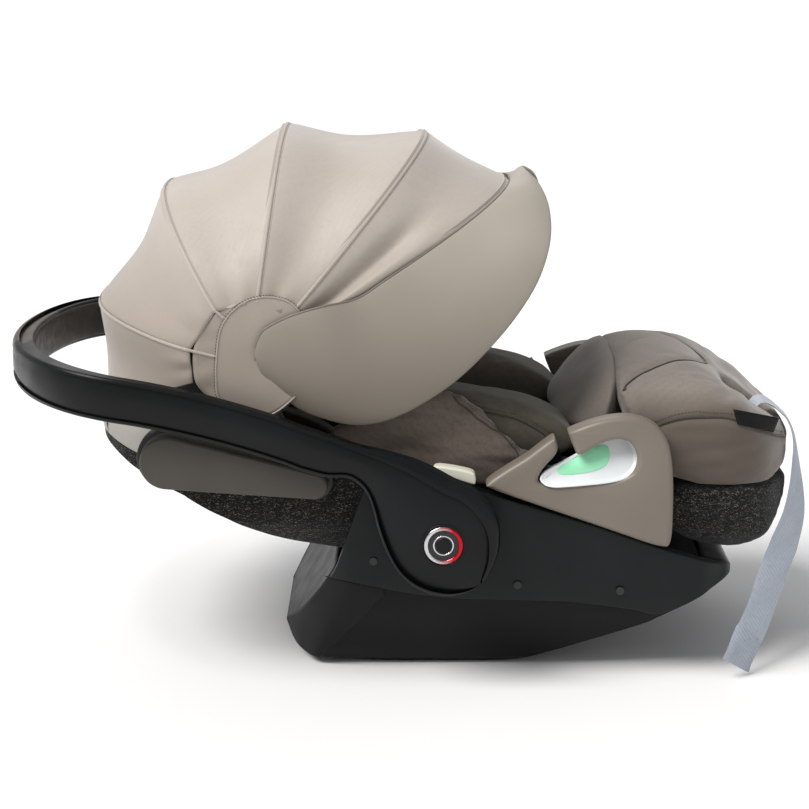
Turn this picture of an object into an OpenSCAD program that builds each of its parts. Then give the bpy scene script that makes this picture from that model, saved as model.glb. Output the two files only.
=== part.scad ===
// Infant car seat with a swing handle, reclining back, folding canopy and sliding leg rest.
// X runs towards the foot end, Y across the seat, Z up. Origin: floor level, middle of the footprint.

/* [Lower shell] */
// Half width of the lower shell outside
shell_half = 176; // [174:1:178]
// Wall thickness of the lower shell
shell_wall = 4; // [3:0.5:6]
// Half width of the flat underside
sole_half = 128; // [110:1:130]
// Thickness of each side cover
cover_t = 4.5; // [3:0.1:5]

/* [Handle] */
// Height of the handle band
band_h = 43; // [34:1:44]
// Thickness of the handle arms
arm_t = 16; // [12:1:17]
// Distance from the middle plane to the outside of the arms
arm_out = 215; // [213:1:216]
// Radius of the handle hub
hub_r = 50; // [44:1:52]
// Radius of the pivot axle
axle_r = 12; // [8:1:14]
// Running clearance of every pivot
run_gap = 0.05; // [0.02:0.01:0.09]

/* [Canopy] */
// Half width of the innermost canopy bow
canopy_half = 172; // [168:1:173]
// Step in half width from one bow to the next
nest_step = 4; // [3.6:0.1:4]
// Thickness of the canopy bows
bow_t = 3; // [2:0.5:3]
// Width of the canopy bows along the canopy
bow_w = 9; // [6:1:10]
// Thickness of the canopy fabric
cloth_t = 1.5; // [1:0.1:1.6]
// Sag of the fabric between two bows
cloth_sag = 9; // [0:1:9]

/* [Leg rest] */
// Half width of the leg rest
leg_half = 159; // [150:1:160]

/* [Harness] */
// Width of the harness webbing
web_w = 38; // [30:1:40]
// Thickness of the harness webbing
web_t = 2; // [1.5:0.1:2.5]

/* [Hidden] */

$fn = 64;
pivot = [37, 148];            // handle and back-rest axis, in X and Z
canopy_pivot = [-146, 319];   // canopy axis, in X and Z
cover_gap = 0.3;
cover_y = shell_half + cover_gap;
boss_in = 186;                // inner face of the handle hub
cap_out = 220;                // outer face of the hub cover
button_r = 19;
button_gap = 0.4;
left = 1;
right = -1;

// Bow angles and radii about the canopy axis, rear bow first, visor bow last
bow_angle = [168.5, 123, 82.5, 49.5, 31];
bow_radius = [166, 174, 206, 258, 291];
bow_power = 2.4;              // superellipse power of a bow's arch
eyelet_r = 12;
pin_r = 5;

// ---------- functions ----------
function lerp(a, b, t) = a + (b - a) * t;
function unit(v) = v / norm(v);
// Rounds the corners of a closed outline by cutting them k times
function smooth(p, k) = k == 0 ? p : smooth([for (i = [0:len(p) - 1])
    each [lerp(p[i], p[(i + 1) % len(p)], 0.25), lerp(p[i], p[(i + 1) % len(p)], 0.75)]], k - 1);
// Moves an anticlockwise outline inwards by d
function edge_normal(a, b) = let (u = unit(b - a)) [-u.y, u.x];
function inset(p, d) = [for (i = [0:len(p) - 1]) let (
    n = len(p), m = edge_normal(p[(i + n - 1) % n], p[i]), q = edge_normal(p[i], p[(i + 1) % n]))
    p[i] + d * (m + q) / (1 + m * q)];
function arc(c, r, a, b, n) = [for (i = [0:n]) c + r * [cos(lerp(a, b, i / n)), sin(lerp(a, b, i / n))]];
// Symmetric outline from its right half, listed bottom to top
function mirrored(h) = concat(h, [for (i = [len(h) - 1:-1:0]) [-h[i].x, h[i].y]]);
// Outline round two circles, the larger one on the left
function pill(c1, r1, c2, r2) = let (d = c2 - c1, a = atan2(d.y, d.x), b = acos((r1 - r2) / norm(d)))
    concat(arc(c1, r1, a + b, a - b + 360, 16), arc(c2, r2, a - b, a + b, 12));
// Centre height of the handle band at x
function band_mid(x) = 297 - 0.00061 * pow(x + 399, 2);

// ---------- shape helpers ----------
module prism_y(p, y0, y1) translate([0, y1, 0]) rotate([90, 0, 0]) linear_extrude(y1 - y0) polygon(p);
module prism_x(p, x0, x1) translate([x0, 0, 0]) rotate([90, 0, 90]) linear_extrude(x1 - x0) polygon(p);
module prism_z(p, z0, z1) translate([0, 0, z0]) linear_extrude(z1 - z0) polygon(p);
module on_side(s) { if (s > 0) children(); else mirror([0, 1, 0]) children(); }
module both_sides() { children(); mirror([0, 1, 0]) children(); }
module rod_y(c, r, y0, y1) translate([c.x, y1, c.y]) rotate([90, 0, 0]) cylinder(h = y1 - y0, r = r);
// Solid whose side, front and plan views are the three outlines
module three_view(side, front, plan) {
    intersection() {
        prism_y(side, -230, 230);
        prism_x(front, -420, 420);
        prism_z(plan, -5, 560);
    }
}
// Closed solid between an outer and an inner grid of points
module sheet_solid(o, i) {
    rows = len(o);
    cols = len(o[0]);
    n = rows * cols;
    function at(r, c) = r * cols + c;
    function quad(a, b, c, d) = [[a, c, b], [a, d, c]];
    faces = concat(
        [for (r = [0:rows - 2]) for (c = [0:cols - 2])
            each quad(at(r, c), at(r, c + 1), at(r + 1, c + 1), at(r + 1, c))],
        [for (r = [0:rows - 2]) for (c = [0:cols - 2])
            each quad(n + at(r, c), n + at(r + 1, c), n + at(r + 1, c + 1), n + at(r, c + 1))],
        [for (c = [0:cols - 2]) each quad(at(0, c + 1), at(0, c), n + at(0, c), n + at(0, c + 1))],
        [for (c = [0:cols - 2])
            each quad(at(rows - 1, c), at(rows - 1, c + 1), n + at(rows - 1, c + 1), n + at(rows - 1, c))],
        [for (r = [0:rows - 2]) each quad(at(r, 0), at(r + 1, 0), n + at(r + 1, 0), n + at(r, 0))],
        [for (r = [0:rows - 2])
            each quad(at(r + 1, cols - 1), at(r, cols - 1), n + at(r, cols - 1), n + at(r + 1, cols - 1))]);
    polyhedron(points = concat([for (r = o) each r], [for (r = i) each r]), faces = faces, convexity = 6);
}
// Closed tube through rings of equal size
module loft(rings) {
    m = len(rings[0]);
    k = len(rings);
    faces = concat([[for (j = [0:m - 1]) j]], [[for (j = [m - 1:-1:0]) (k - 1) * m + j]],
        [for (i = [0:k - 2]) for (j = [0:m - 1]) let (a = i * m + j, b = i * m + (j + 1) % m)
            each [[a, b + m, b], [a, a + m, b + m]]]);
    polyhedron(points = [for (r = rings) each r], faces = faces, convexity = 6);
}

// ---------- lower shell ----------
shell_side = smooth([[-122, 24], [-112, 12], [-76, 8], [-32, 0], [96, 0], [155, 20], [231, 48], [254, 60],
    [302, 87], [326, 99], [316, 110], [185, 157], [54, 199], [0, 208], [-25, 212], [-44, 180],
    [-67, 111], [-82, 84], [-104, 50]], 1);
shell_front = mirrored([[sole_half, 0], [sole_half + 12, 7], [shell_half - 3, 82], [shell_half, 96],
    [shell_half, 300]]);
shell_plan = mirrored_plan([[326, 118], [320, 145], [300, 163], [268, 173], [230, shell_half],
    [-40, shell_half], [-64, 170], [-88, 144], [-107, 110], [-123, 62]]);
// Plan outline from its half, listed from the foot end to the head end
function mirrored_plan(h) = concat(h, [for (i = [len(h) - 1:-1:0]) [h[i].x, -h[i].y]]);
latch_bars = [[-58, 30], [196, 54]];
bar_r = 5;
bar_half = 46;

module tub(d) three_view(inset(shell_side, d), inset(shell_front, d), inset(shell_plan, d));

module base_shell() {
    color("#23272a") difference() {
        union() {
            difference() {
                tub(0);
                tub(shell_wall);
                // open top between the side walls
                prism_y([[-44, 122], [20, 96], [296, 92], [300, 104], [340, 116], [300, 330], [-140, 330],
                    [-140, 104], [-64, 104]], -shell_half + shell_wall, shell_half - shell_wall);
            }
            // ribs that carry the latch bars
            intersection() {
                tub(1);
                for (b = latch_bars) for (y = [-bar_half - 10, bar_half])
                    translate([b.x - 12, y, 0]) cube([24, 10, b.y + 12]);
            }
            // lugs that carry the seat pan
            intersection() {
                tub(1);
                for (x = [30, 186]) for (s = [-1, 1])
                    translate([x, s * 165 - 8, 84]) cube([24, 16, 29.9]);
            }
        }
        // slots in the underside below the latch bars
        for (b = latch_bars)
            translate([b.x - 18, -bar_half, -1]) cube([36, 2 * bar_half, b.y + 9]);
        for (b = latch_bars) rod_y(b, bar_r, -bar_half - 20, bar_half + 20);
        both_sides() rod_y(pivot, axle_r, 160, 180);
    }
}

cover_side = [[-80, 97], [-57, 98], [-29, 93], [4, 86], [55, 80], [110, 78], [163, 76], [220, 68],
    [250, 59], [302, 91], [322, 104], [315, 114], [185, 156], [54, 197], [0, 206], [-25, 210], [-43, 180],
    [-66, 113]];
module side_cover(s) {
    color("#262a2d") on_side(s) difference() {
        intersection() {
            prism_y(cover_side, cover_y, cover_y + cover_t);
            prism_z(mirrored_plan([[326, 130], [320, 150], [300, 167], [268, 178], [230, 190],
                [-62, 190]]), 0, 300);
        }
        rod_y(pivot, axle_r, 170, 190);
        for (c = screw_places) {
            rod_y(c, 2, 170, 190);
            rod_y(c, 4, cover_y + cover_t - 1.2, 190);
        }
    }
}
screw_places = [[-30, 120], [110, 96], [210, 90]];
module cover_screws() {
    color("#3a3d40") both_sides() for (c = screw_places) {
        rod_y(c, 2, shell_half + 0.2, cover_y + cover_t - 1.2);
        rod_y(c, 4, cover_y + cover_t - 1.2, cover_y + cover_t - 0.2);
    }
}

module rear_foot_cover() {
    color("#1d2022") difference() {
        intersection() {
            three_view(inset(shell_side, -2.5), inset(shell_front, -2.5), inset(shell_plan, -2.5));
            prism_y([[-150, 10], [-84, 10], [-24, 82], [-40, 92], [-60, 96], [-90, 95], [-150, 95]],
                -190, 190);
        }
        tub(-0.01);
        translate([latch_bars[0].x - 18, -bar_half, -1]) cube([36, 2 * bar_half, 60]);
    }
}

module base_latch_bars() {
    color("#b9bdc0") for (b = latch_bars) rod_y(b, bar_r, -bar_half - 10, bar_half + 10);
}

module pivot_axles() { color("#8d9194") both_sides() rod_y(pivot, axle_r, 157, 208); }

// ---------- belt guides ----------
guide_in = 165;
guide_out = 189;
guide_side = [[77, 199.5], [81, 195], [140, 174], [252, 134], [258, 142], [258.5, 200], [256, 236],
    [247, 252], [231, 262], [213, 266], [182, 261], [156, 250.5], [165, 228.5], [171, 228.5], [190, 240],
    [208, 244], [218, 239], [224, 226], [221, 213], [212, 206], [184, 201], [138, 198], [127, 203], [133, 216],
    [148, 231], [143.5, 245], [117, 226]];
module belt_guide(s) {
    color("#988c82") on_side(s) difference() {
        prism_y(guide_side, guide_in, guide_out);
        // the foot of the guide sits astride the wall and the side cover
        prism_y([[60, 100], [300, 100], [300, 117.5], [185, 158.5], [54, 199.8]], shell_half - shell_wall - 0.3,
            cover_y + cover_t + 0.3);
    }
}
module belt_guide_inserts() {
    color("#e9ebe8") both_sides() intersection() {
        prism_x([[188, 206], [167, 231], [161, 234], [160.5, 200], [164, 197]], 138, 212);
        prism_y([[138, 199], [184, 202], [211, 207], [219, 214], [221, 226], [216, 236], [192, 238],
            [172, 227], [163, 224], [142, 215], [138, 210]], 140, 190);
    }
}
module belt_guide_markers() {
    color("#9fe0b8") both_sides() intersection() {
        prism_x([[184, 210.9], [170.4, 227.1], [171.4, 227.9], [185, 211.8]], 146, 198);
        prism_y([[146, 205], [200, 205], [200, 232], [172, 225.8], [163, 222.6], [146, 215.4]], 140, 190);
    }
}

// ---------- seat ----------
seat_clear_r = 84;            // room for the back rest to turn
module seat_pan() {
    color("#2b2f32") difference() {
        prism_y([[24, 114], [215, 114], [232, 106], [236, 110], [218, 118], [24, 118]], -164, 164);
        // slots for the crotch strap and the hip straps
        translate([140, -web_w / 2 - 1, 100]) cube([8, web_w + 2, 40]);
        both_sides() translate([104, 110, 100]) cube([10, web_w + 2, 40]);
    }
}
module seat_cushion() {
    color("#6b625b") difference() {
        three_view(smooth([[20, 118.5], [216, 118.5], [216, 140], [196, 150], [20, 156]], 2),
            smooth(mirrored([[138, 110], [140, 150], [128, 162]]), 2), smooth(mirrored_plan([[222, 130], [20, 138]]), 2));
        rod_y(pivot, seat_clear_r, -200, 200);
        translate([138, -web_w / 2 - 3, 100]) cube([12, web_w + 6, 80]);
        both_sides() translate([102, 108, 100]) cube([14, web_w + 6, 80]);
    }
}
module crotch_strap() {
    color("#2a2b2d") prism_y([[143, 112], [145, 112], [145, 166], [143, 166]], -web_w / 2, web_w / 2);
}
module hip_straps() {
    color("#2a2b2d") both_sides() {
        translate([108, 111, 112]) cube([web_t, web_w, 44]);
        prism_x([[38, 171], [111, 154.5], [149, 154.5], [149, 156.5], [111.4, 156.5], [38, 173]], 108, 128);
    }
}
module buckle_housing() {
    color("#4c4f52") difference() {
        prism_y(smooth([[122, 166], [166, 166], [160, 196], [128, 196]], 1), -28, 28);
        // pocket for the push button
        translate([134.7, -14.3, 186]) cube([18.6, 28.6, 20]);
        // slots for the tongues
        both_sides() translate([130, 24, 174]) cube([28, 10, 5]);
    }
}
module buckle_button() {
    color("#b3262b") translate([135, -14, 189.2]) cube([18, 28, 8.6]);
}
module buckle_tongues() {
    color("#c3c6c9") both_sides() translate([131, 24, 174.5]) cube([26, 13.5, 4]);
}

// ---------- handle ----------
handle_end = -399;
loop_start = -270;            // where the arms turn into the crossbar
crossbar_t = 22;
hub_outline = concat([[-98, band_mid(-98) + band_h / 2], [-44, 244], [11, 230], [47, 211], [72, 197], [86, 181]],
    arc(pivot, 54, 10, -80, 8), [[36, 97], [12, 103], [-5, 117], [-16, 135], [-24, 160], [-33, 190],
    [-44, 207], [-60, 212], [-98, band_mid(-98) - band_h / 2]]);
band_side = concat([for (x = [handle_end - 4:20:-118]) [x, band_mid(x) + band_h / 2]], hub_outline,
    [for (x = [-118:-20:handle_end - 4]) [x, band_mid(x) - band_h / 2]]);
function loop_half(a, b) = [for (t = [0:7.5:90]) [loop_start - a * sin(t), b * cos(t)]];
function loop_plan(a, b) = let (h = concat([[110, b]], loop_half(a, b)))
    concat(h, [for (i = [len(h) - 2:-1:0]) [h[i].x, -h[i].y]]);
module handle_bar() {
    color("#1f2326") difference() {
        union() {
            intersection() {
                prism_y(band_side, -arm_out, arm_out);
                difference() {
                    prism_z(loop_plan(loop_start - handle_end, arm_out), 0, 400);
                    prism_z(concat(loop_plan(loop_start - handle_end - crossbar_t, arm_out - arm_t),
                        [[120, -arm_out + arm_t], [120, arm_out - arm_t]]), -1, 401);
                }
            }
            both_sides() rod_y(pivot, hub_r, boss_in, arm_out - 1);
        }
        both_sides() {
            rod_y(pivot, axle_r + run_gap, boss_in - 1, 209);
            rod_y(pivot, button_r + button_gap, 211.5, arm_out + 1);
        }
    }
}
// Soft inner face of the crossbar
trim_t = 2.5;
module handle_trim() {
    a = loop_start - handle_end - crossbar_t;
    b = arm_out - arm_t;
    color("#4a423d") intersection() {
        prism_y(concat([for (x = [-400:20:-200]) [x, band_mid(x) + band_h / 2 - 3]],
            [for (x = [-200:-20:-400]) [x, band_mid(x) - band_h / 2 + 3]]), -arm_out, arm_out);
        difference() {
            prism_z(loop_plan(a, b), 0, 400);
            prism_z(loop_plan(a - trim_t, b - trim_t), -1, 401);
            translate([-215, -300, -1]) cube([400, 600, 500]);
        }
    }
}
module hub_caps() {
    color("#1b1e20") both_sides() difference() {
        union() {
            rod_y(pivot, hub_r - 1, arm_out, cap_out - 2);
            rod_y(pivot, hub_r - 4, cap_out - 2, cap_out);
        }
        rod_y(pivot, button_r + button_gap, arm_out - 1, cap_out + 1);
    }
}
module handle_button(s) {
    color("#a9252d") on_side(s) difference() {
        rod_y(pivot, button_r, 215.2, cap_out + 0.5);
        rod_y(pivot, button_r - 3, cap_out - 0.6, cap_out + 1);
    }
}

// ---------- back rest ----------
back_side = smooth([[-306, 236], [-298, 216], [-268, 190], [-215, 164], [-160, 144], [-103, 126], [-62, 117],
    [-24, 116], [0, 120], [16, 132], [18, 160], [0, 196], [-60, 232], [-133, 256], [-190, 258], [-290, 258],
    [-303, 256]], 1);
back_front = mirrored([[104, 100], [126, 118], [150, 140], [162, 166], [166, 196], [166, 400]]);
back_plan = mirrored_plan([[60, 166], [-180, 166], [-215, 161], [-248, 148], [-276, 128], [-296, 98],
    [-306, 60]]);
back_wall = 4;
ear_r = 24;
ear_in = 158;
module back_solid(d) three_view(inset(back_side, d), inset(back_front, d), inset(back_plan, d));
// Inner floor line of the back shell, from the head end to the seat
floor_line = [[-296, 232], [-262, 196], [-215, 172], [-103, 134], [-30, 124], [6, 128]];

module back_shell() {
    color("#26272a") difference() {
        union() {
            difference() {
                back_solid(0);
                back_solid(back_wall);
                prism_y([[-300, 236], [-262, 198], [-200, 178], [-60, 140], [30, 134], [60, 260], [0, 330],
                    [-300, 330]], -166 + back_wall, 166 - back_wall);
            }
            both_sides() rod_y(pivot, ear_r, ear_in, 166);
            // posts that carry the canopy pins
            both_sides() prism_y([[-172, 250], [-120, 250], [-132, 325], [-146, 333], [-160, 325]], 156, 164);
        }
        both_sides() rod_y(pivot, axle_r + run_gap, 150, 170);
        both_sides() rod_y(canopy_pivot, pin_r, 150, 170);
        // pockets for the side pads' slide guides
        both_sides() for (x = [-210, -110]) rod_y([x, 205], 4, 150, 170);
        // clearance round the ears
        both_sides() translate([40, 150, 60]) cube([60, 8, 200]);
    }
}
module rear_vent_panel() {
    color("#dcd9d3") prism_y([[-309, 258], [-306.4, 258], [-306.4, 236], [-298.4, 215.6], [-268.6, 189.6],
        [-252, 181.6], [-253, 179], [-270, 187.2], [-301, 214.5], [-309, 236]], -88, 88);
}
liner_t = 10;
module foam_liner() {
    color("#ecebe6") intersection() {
        prism_y([[-285, 233], [-262, 203], [-215, 180], [-103, 142], [-40, 130], [-40, 140], [-98, 151.5],
            [-211, 189.5], [-250, 208], [-275, 233]], -134, 134);
        back_solid(back_wall + 1);
    }
}
module back_cushion() {
    color("#6f665f") intersection() {
        prism_y([[-254, 216], [-249.5, 208.6], [-210.5, 190.2], [-97.5, 152.2], [-40, 140.8], [-20, 141],
            [-14, 145], [-20, 149], [-40, 151], [-112, 174.7], [-240, 217.4]], -136, 136);
        back_solid(back_wall + 3);
    }
}
module inlay() {
    side = smooth([[-56, 200], [-54, 244], [-38, 268], [0, 278], [60, 274], [104, 266], [134, 258],
        [155, 248], [168, 234], [169, 221], [148, 211], [60, 192], [-30, 190]], 2);
    color("#4f4741") difference() {
        three_view(side, smooth(mirrored([[122, 180], [138, 220], [136, 280], [112, 308]]), 2),
            smooth(mirrored_plan([[170, 138], [-60, 138]]), 0));
        prism_x(smooth([[-58, 330], [-62, 250], [-60, 170], [60, 170], [62, 250], [58, 330]], 1), -80, 200);
    }
}
module side_wings() {
    color("#6a5a4e") both_sides() prism_y(smooth([[-78, 246], [-40, 262], [0, 282], [47, 290], [80, 262],
        [114, 226], [132, 222], [118, 196], [90, 186], [50, 188], [20, 196], [-60, 222]], 1), 144.5, 155.5);
}
module harness_straps() {
    color("#2a2b2d") both_sides() prism_y([[-145, 228], [-143, 231.2], [-96, 215.4], [-58, 190], [-12, 171],
        [-11.4, 173.2], [-57, 192.4], [-94.6, 217.6], [-144, 233.6], [-148, 228]], 34, 34 + 20);
}
module lsp_guides() {
    color("#9da0a3") both_sides() for (x = [-210, -110]) rod_y([x, 205], 4, 158, 186);
}

// ---------- headrest ----------
module headrest_shell() {
    side = smooth([[-276, 322], [-274, 248], [-254, 226], [-110, 178], [-97, 188], [-122, 258], [-168, 312],
        [-200, 330]], 1);
    color("#2b2e31") difference() {
        three_view(side, mirrored([[112, 160], [132, 190], [138, 220], [138, 340]]),
            mirrored_plan([[-60, 138], [-200, 138], [-244, 124], [-268, 96], [-278, 60]]));
        three_view([[-270, 360], [-268, 252], [-250, 233], [-60, 169.7], [-60, 360]],
            mirrored([[106, 160], [126, 192], [132, 222], [132, 400]]),
            mirrored_plan([[-40, 132], [-202, 132], [-240, 118], [-262, 92], [-272, 56]]));
        // belt slots behind the shoulders
        both_sides() translate([-150, 30, 150]) cube([12, 44, 60]);
    }
}
module headrest_cushion() {
    color("#5c534c") difference() {
        three_view(smooth([[-268, 336], [-266, 254], [-248, 234.5], [-112, 189.2], [-100, 198], [-124, 264],
            [-166, 318], [-196, 338]], 1), mirrored([[104, 160], [124, 193], [130, 223], [130, 340]]),
            mirrored_plan([[-42, 130], [-202, 130], [-238, 117], [-260, 90], [-269, 56]]));
        three_view([[-246, 360], [-244, 274], [-228, 256], [-90, 210], [-60, 200], [-60, 360]],
            mirrored([[70, 200], [100, 236], [104, 270], [104, 400]]),
            mirrored_plan([[-40, 104], [-200, 104], [-232, 84], [-246, 50]]));
        both_sides() translate([-152, 28, 150]) cube([16, 48, 90]);
    }
}
module shoulder_pads() {
    color("#5c534c") both_sides()
        prism_y(smooth([[-136, 235], [-96, 221], [-58, 197], [-46, 194], [-44, 203], [-58, 209], [-94, 232],
            [-134, 245]], 1), 31, 56);
}

// ---------- side-impact pads ----------
pad_in = 167.5;
pad_out = 195;
module lsp(s) {
    outline = pill([-227, 222], 26, [-86, 199], 13);
    color("#8b837b") on_side(s) difference() {
        union() {
            prism_y(outline, 189.5, pad_out - 5);
            prism_y(inset(outline, 1.2), pad_out - 5, pad_out - 2);
            prism_y(inset(outline, 3), pad_out - 2, pad_out);
            prism_y(inset(outline, 4), pad_in, 189.5);
        }
        for (x = [-210, -110]) rod_y([x, 205], 4 + run_gap, 150, 188);
    }
}

// ---------- canopy ----------
function arch(r, w, t) = let (e = 2 / bow_power) [r * pow(abs(sin(t)), e), w * sign(cos(t)) * pow(abs(cos(t)), e)];
function bow_half_w(i) = canopy_half + nest_step * i;
arch_steps = 40;
function arch_line(r, w) = [for (k = [0:arch_steps]) arch(r, w, 180 * k / arch_steps)];
// One bow: a bent strip with an eyelet at each end, in the plane at its own angle
module bow(i) {
    r = bow_radius[i];
    w = bow_half_w(i);
    o = arch_line(r, w);
    n = arch_line(r - bow_t, w - bow_t);
    difference() {
        union() {
            translate([canopy_pivot.x, 0, canopy_pivot.y]) rotate([0, -bow_angle[i], 0])
                linear_extrude(bow_w, center = true) polygon(concat(o, [for (k = [len(n) - 1:-1:0]) n[k]]));
            both_sides() rod_y(canopy_pivot, eyelet_r, w - bow_t, w);
        }
        both_sides() rod_y(canopy_pivot, pin_r + run_gap, w - bow_t - 1, w + 1);
    }
}
function swing(a, p) = [canopy_pivot.x + p[0] * cos(a), p[1], canopy_pivot.y + p[0] * sin(a)];
gore_steps = 5;
gore_cols = 26;
gore_t0 = 7;                  // where the fabric starts, clear of the eyelets
// Fabric from angle a0 and radius r0 to angle a1 and radius r1, ending "rim" short of the plane at a1
rim = bow_w / 2 + 0.4;
function gore_grid(a0, r0, a1, r1, w, inner) = [for (j = [0:gore_steps]) let (f = j / gore_steps,
    a = lerp(a0, a1, f)) [for (k = [0:gore_cols]) let (t = lerp(gore_t0, 180 - gore_t0, k / gore_cols),
        sag = min(cloth_sag, 0.25 * (r1 - r0) + 1.5) * 4 * f * (1 - f) * pow(sin(t), 2))
        swing(a, arch(lerp(r0, r1, f) - sag - inner, w - inner, t)) + f * rim * [-sin(a), 0, cos(a)]]];
module gore(a0, r0, a1, r1, w) {
    sheet_solid(gore_grid(a0, r0, a1, r1, w, 0), gore_grid(a0, r0, a1, r1, w, cloth_t));
}
module canopy_gore(i) {
    color("#b3a69d")
        gore(bow_angle[i - 1], bow_radius[i - 1] + 3.6, bow_angle[i], bow_radius[i], bow_half_w(i));
}
module canopy_back() {
    color("#aea198") gore(200, 166, bow_angle[0], bow_radius[0], bow_half_w(0));
}
module canopy_pins() {
    color("#6a6d70") both_sides() rod_y(canopy_pivot, pin_r, 150, bow_half_w(4) + 0.6);
}
// Visor: cross strips from the tip beside the pivot to the middle of the brow.
// Each strip has its rear edge and its front edge, as X, Z and distance from the middle plane.
visor_side = 190.5;
visor_t = 2.2;
brow_r = bow_radius[4] + 2;
function arch_y(s) = visor_side * pow(max(0, 1 - pow(s / brow_r, bow_power)), 1 / bow_power);
// Rear edge at distance s along the visor bow's plane
function brow(s) = [canopy_pivot.x + s * cos(bow_angle[4]), canopy_pivot.y + s * sin(bow_angle[4]), arch_y(s)];
visor_strips = [
    [[-141, 338, visor_side], [-139, 316, visor_side]],
    [[-130, 353, visor_side], [-126, 298, visor_side]],
    [[-106, 365, visor_side], [-104, 275, visor_side]],
    [[-76, 374, visor_side], [-74, 262, visor_side]],
    [brow(118), [-42, 257, visor_side]],
    [brow(150), [-10, 264, visor_side]],
    [brow(178), [22, 281, visor_side]],
    [brow(203), [52, 303, visor_side]],
    [brow(226), [82, 333, 189]],
    [brow(246), [108, 364, 182]],
    [brow(263), [129, 396, 165]],
    [brow(277), [141, 428, 134]],
    [brow(287), [142, 452, 86]],
    [brow(brow_r - 1), [133, 470, 40]],
    [brow(brow_r), [119, 480, 0]]];
// Outward direction turns from sideways at the tip to upwards and forwards at the brow
function visor_out(y) = let (u = 1 - y / visor_side) unit([0.55 * u, 0.02 + y / visor_side, u]);
function visor_point(s, g, d) = let (a = s[0], b = s[1], m = lerp(a, b, g),
    crown = 18 * g * (1 - g) * (1 - m.z / visor_side)) [m.x, m.z, m.y] + visor_out(m.z) * (crown + d);
function visor_grid(d) = concat(
    [for (s = visor_strips) [for (g = [0:0.25:1]) let (p = visor_point(s, g, d)) [p.x, -p.y, p.z]]],
    [for (i = [len(visor_strips) - 2:-1:0]) [for (g = [0:0.25:1]) visor_point(visor_strips[i], g, d)]]);
module visor_panel() { color("#a79c93") sheet_solid(visor_grid(visor_t), visor_grid(0)); }

// ---------- leg rest ----------
leg_plan = mirrored_plan([[395, 40], [389, 70], [381, 98], [371, 122], [358, 141], [339, 154], [316, leg_half],
    [200, leg_half]]);
leg_front = mirrored([[92, 90], [112, 112], [134, 128], [150, 146], [leg_half, 172], [leg_half, 246], [150, 264], [124, 283], [76, 297],
    [30, 303], [6, 304]]);
leg_low = smooth([[250, 188.4], [256, 152], [268, 136], [290, 124], [312, 118], [332, 117], [350, 125],
    [368, 145], [381, 166], [391, 188.4], [320, 188.4]], 1);
leg_wall = 5;
module leg_rest_shell() {
    color("#2c2c2e") difference() {
        three_view(leg_low, leg_front, leg_plan);
        three_view(inset(leg_low, leg_wall), inset(leg_front, leg_wall), inset(leg_plan, leg_wall));
    }
}
leg_top = [[252, 189], [390, 189], [394, 206], [391, 222], [382, 231], [365, 241], [352, 250], [334, 262],
    [315, 275], [298, 286], [276, 297], [248, 303.5], [224, 301.5], [206, 294], [206, 283], [226, 236]];
lever_axis = [341, 234];
lever_y = 60;
module leg_rest_cushion() {
    color("#6f665f") difference() {
        three_view(smooth(leg_top, 1), leg_front, leg_plan);
        // pocket for the adjuster and its lever
        translate([318, -lever_y - 27, 218]) cube([52, 54, 70]);
    }
}
module strap_guide() {
    color("#2a2c2e") difference() {
        translate([318.3, -lever_y - 26.7, 218.3]) cube([51.4, 53.4, 10]);
        translate([346, -lever_y - web_w / 2 - 1, 215]) cube([6, web_w + 2, 20]);
    }
    color("#2a2c2e") for (y = [-lever_y - 26.7, -lever_y + 22.7]) difference() {
        translate([lever_axis.x - 8, y, 228.3]) cube([16, 4, 14]);
        rod_y(lever_axis, 3 + run_gap, y - 1, y + 5);
    }
}
module adjuster_lever() {
    color("#a4a8ab") {
        rod_y(lever_axis, 3, -lever_y - 26.6, -lever_y + 26.6);
        difference() {
            union() {
                rod_y(lever_axis, 4.6, -lever_y - 20, -lever_y + 20);
                translate([322, -lever_y - 18, 232]) cube([18, 36, 3]);
            }
            rod_y(lever_axis, 3, -lever_y - 21, -lever_y + 21);
        }
    }
}
// Route of the webbing's middle line: out of its slot, over the front edge and down to the floor
strap_route = [[349, -60, 231], [349.5, -60, 241], [353, -61, 250], [360, -62, 254], [368, -64, 251.5],
    [377, -67, 245], [386, -72, 235.5], [392, -79, 219], [393.5, -88, 197], [392.5, -99, 172], [388, -111, 147],
    [378.5, -123, 121], [367, -135, 96], [357, -147, 73], [347, -157, 53], [340, -164, 41]];
tab_route = [[340, -164, 41], [336, -168, 34], [332, -172, 26], [328, -175.5, 18], [325.5, -178, 12.5]];
function tangent(p, i) = unit(p[min(i + 1, len(p) - 1)] - p[max(i - 1, 0)]);
// The webbing's width lies across the seat at the slot and turns as it hangs
function strap_width_dir(z) = unit(lerp([0.82, 0.57, 0], [0, 1, 0], min(1, max(0, (z - 120) / 120))));
function strap_ring(p, i, hw, ht) = let (t = tangent(p, i), a = strap_width_dir(p[i].z),
    w = unit(a - t * (a * t)), n = cross(t, w))
    [for (q = [[hw, -ht / 2], [hw, ht / 2], [hw * 0.6, ht], [-hw * 0.6, ht], [-hw, ht / 2], [-hw, -ht / 2],
        [-hw * 0.6, -ht], [hw * 0.6, -ht]]) p[i] + w * q.x + n * q.y];
module strap_sweep(p, hw, ht) loft([for (i = [0:len(p) - 1]) strap_ring(p, i, hw, ht)]);
module adjuster_strap() { color("#bcc4d0") strap_sweep(strap_route, web_w / 2, web_t / 2); }
module strap_end_tab() { color("#8e98a8") strap_sweep(tab_route, web_w / 2 + 0.5, 1.7); }
module cloth_tag() {
    color("#141416") prism_y([[328, 267.2], [334.4, 262.9], [352.4, 251], [365.6, 241.9], [366.2, 242.7],
        [353, 251.9], [335, 263.8], [328.6, 268.1]], -142, -118);
}

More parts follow.
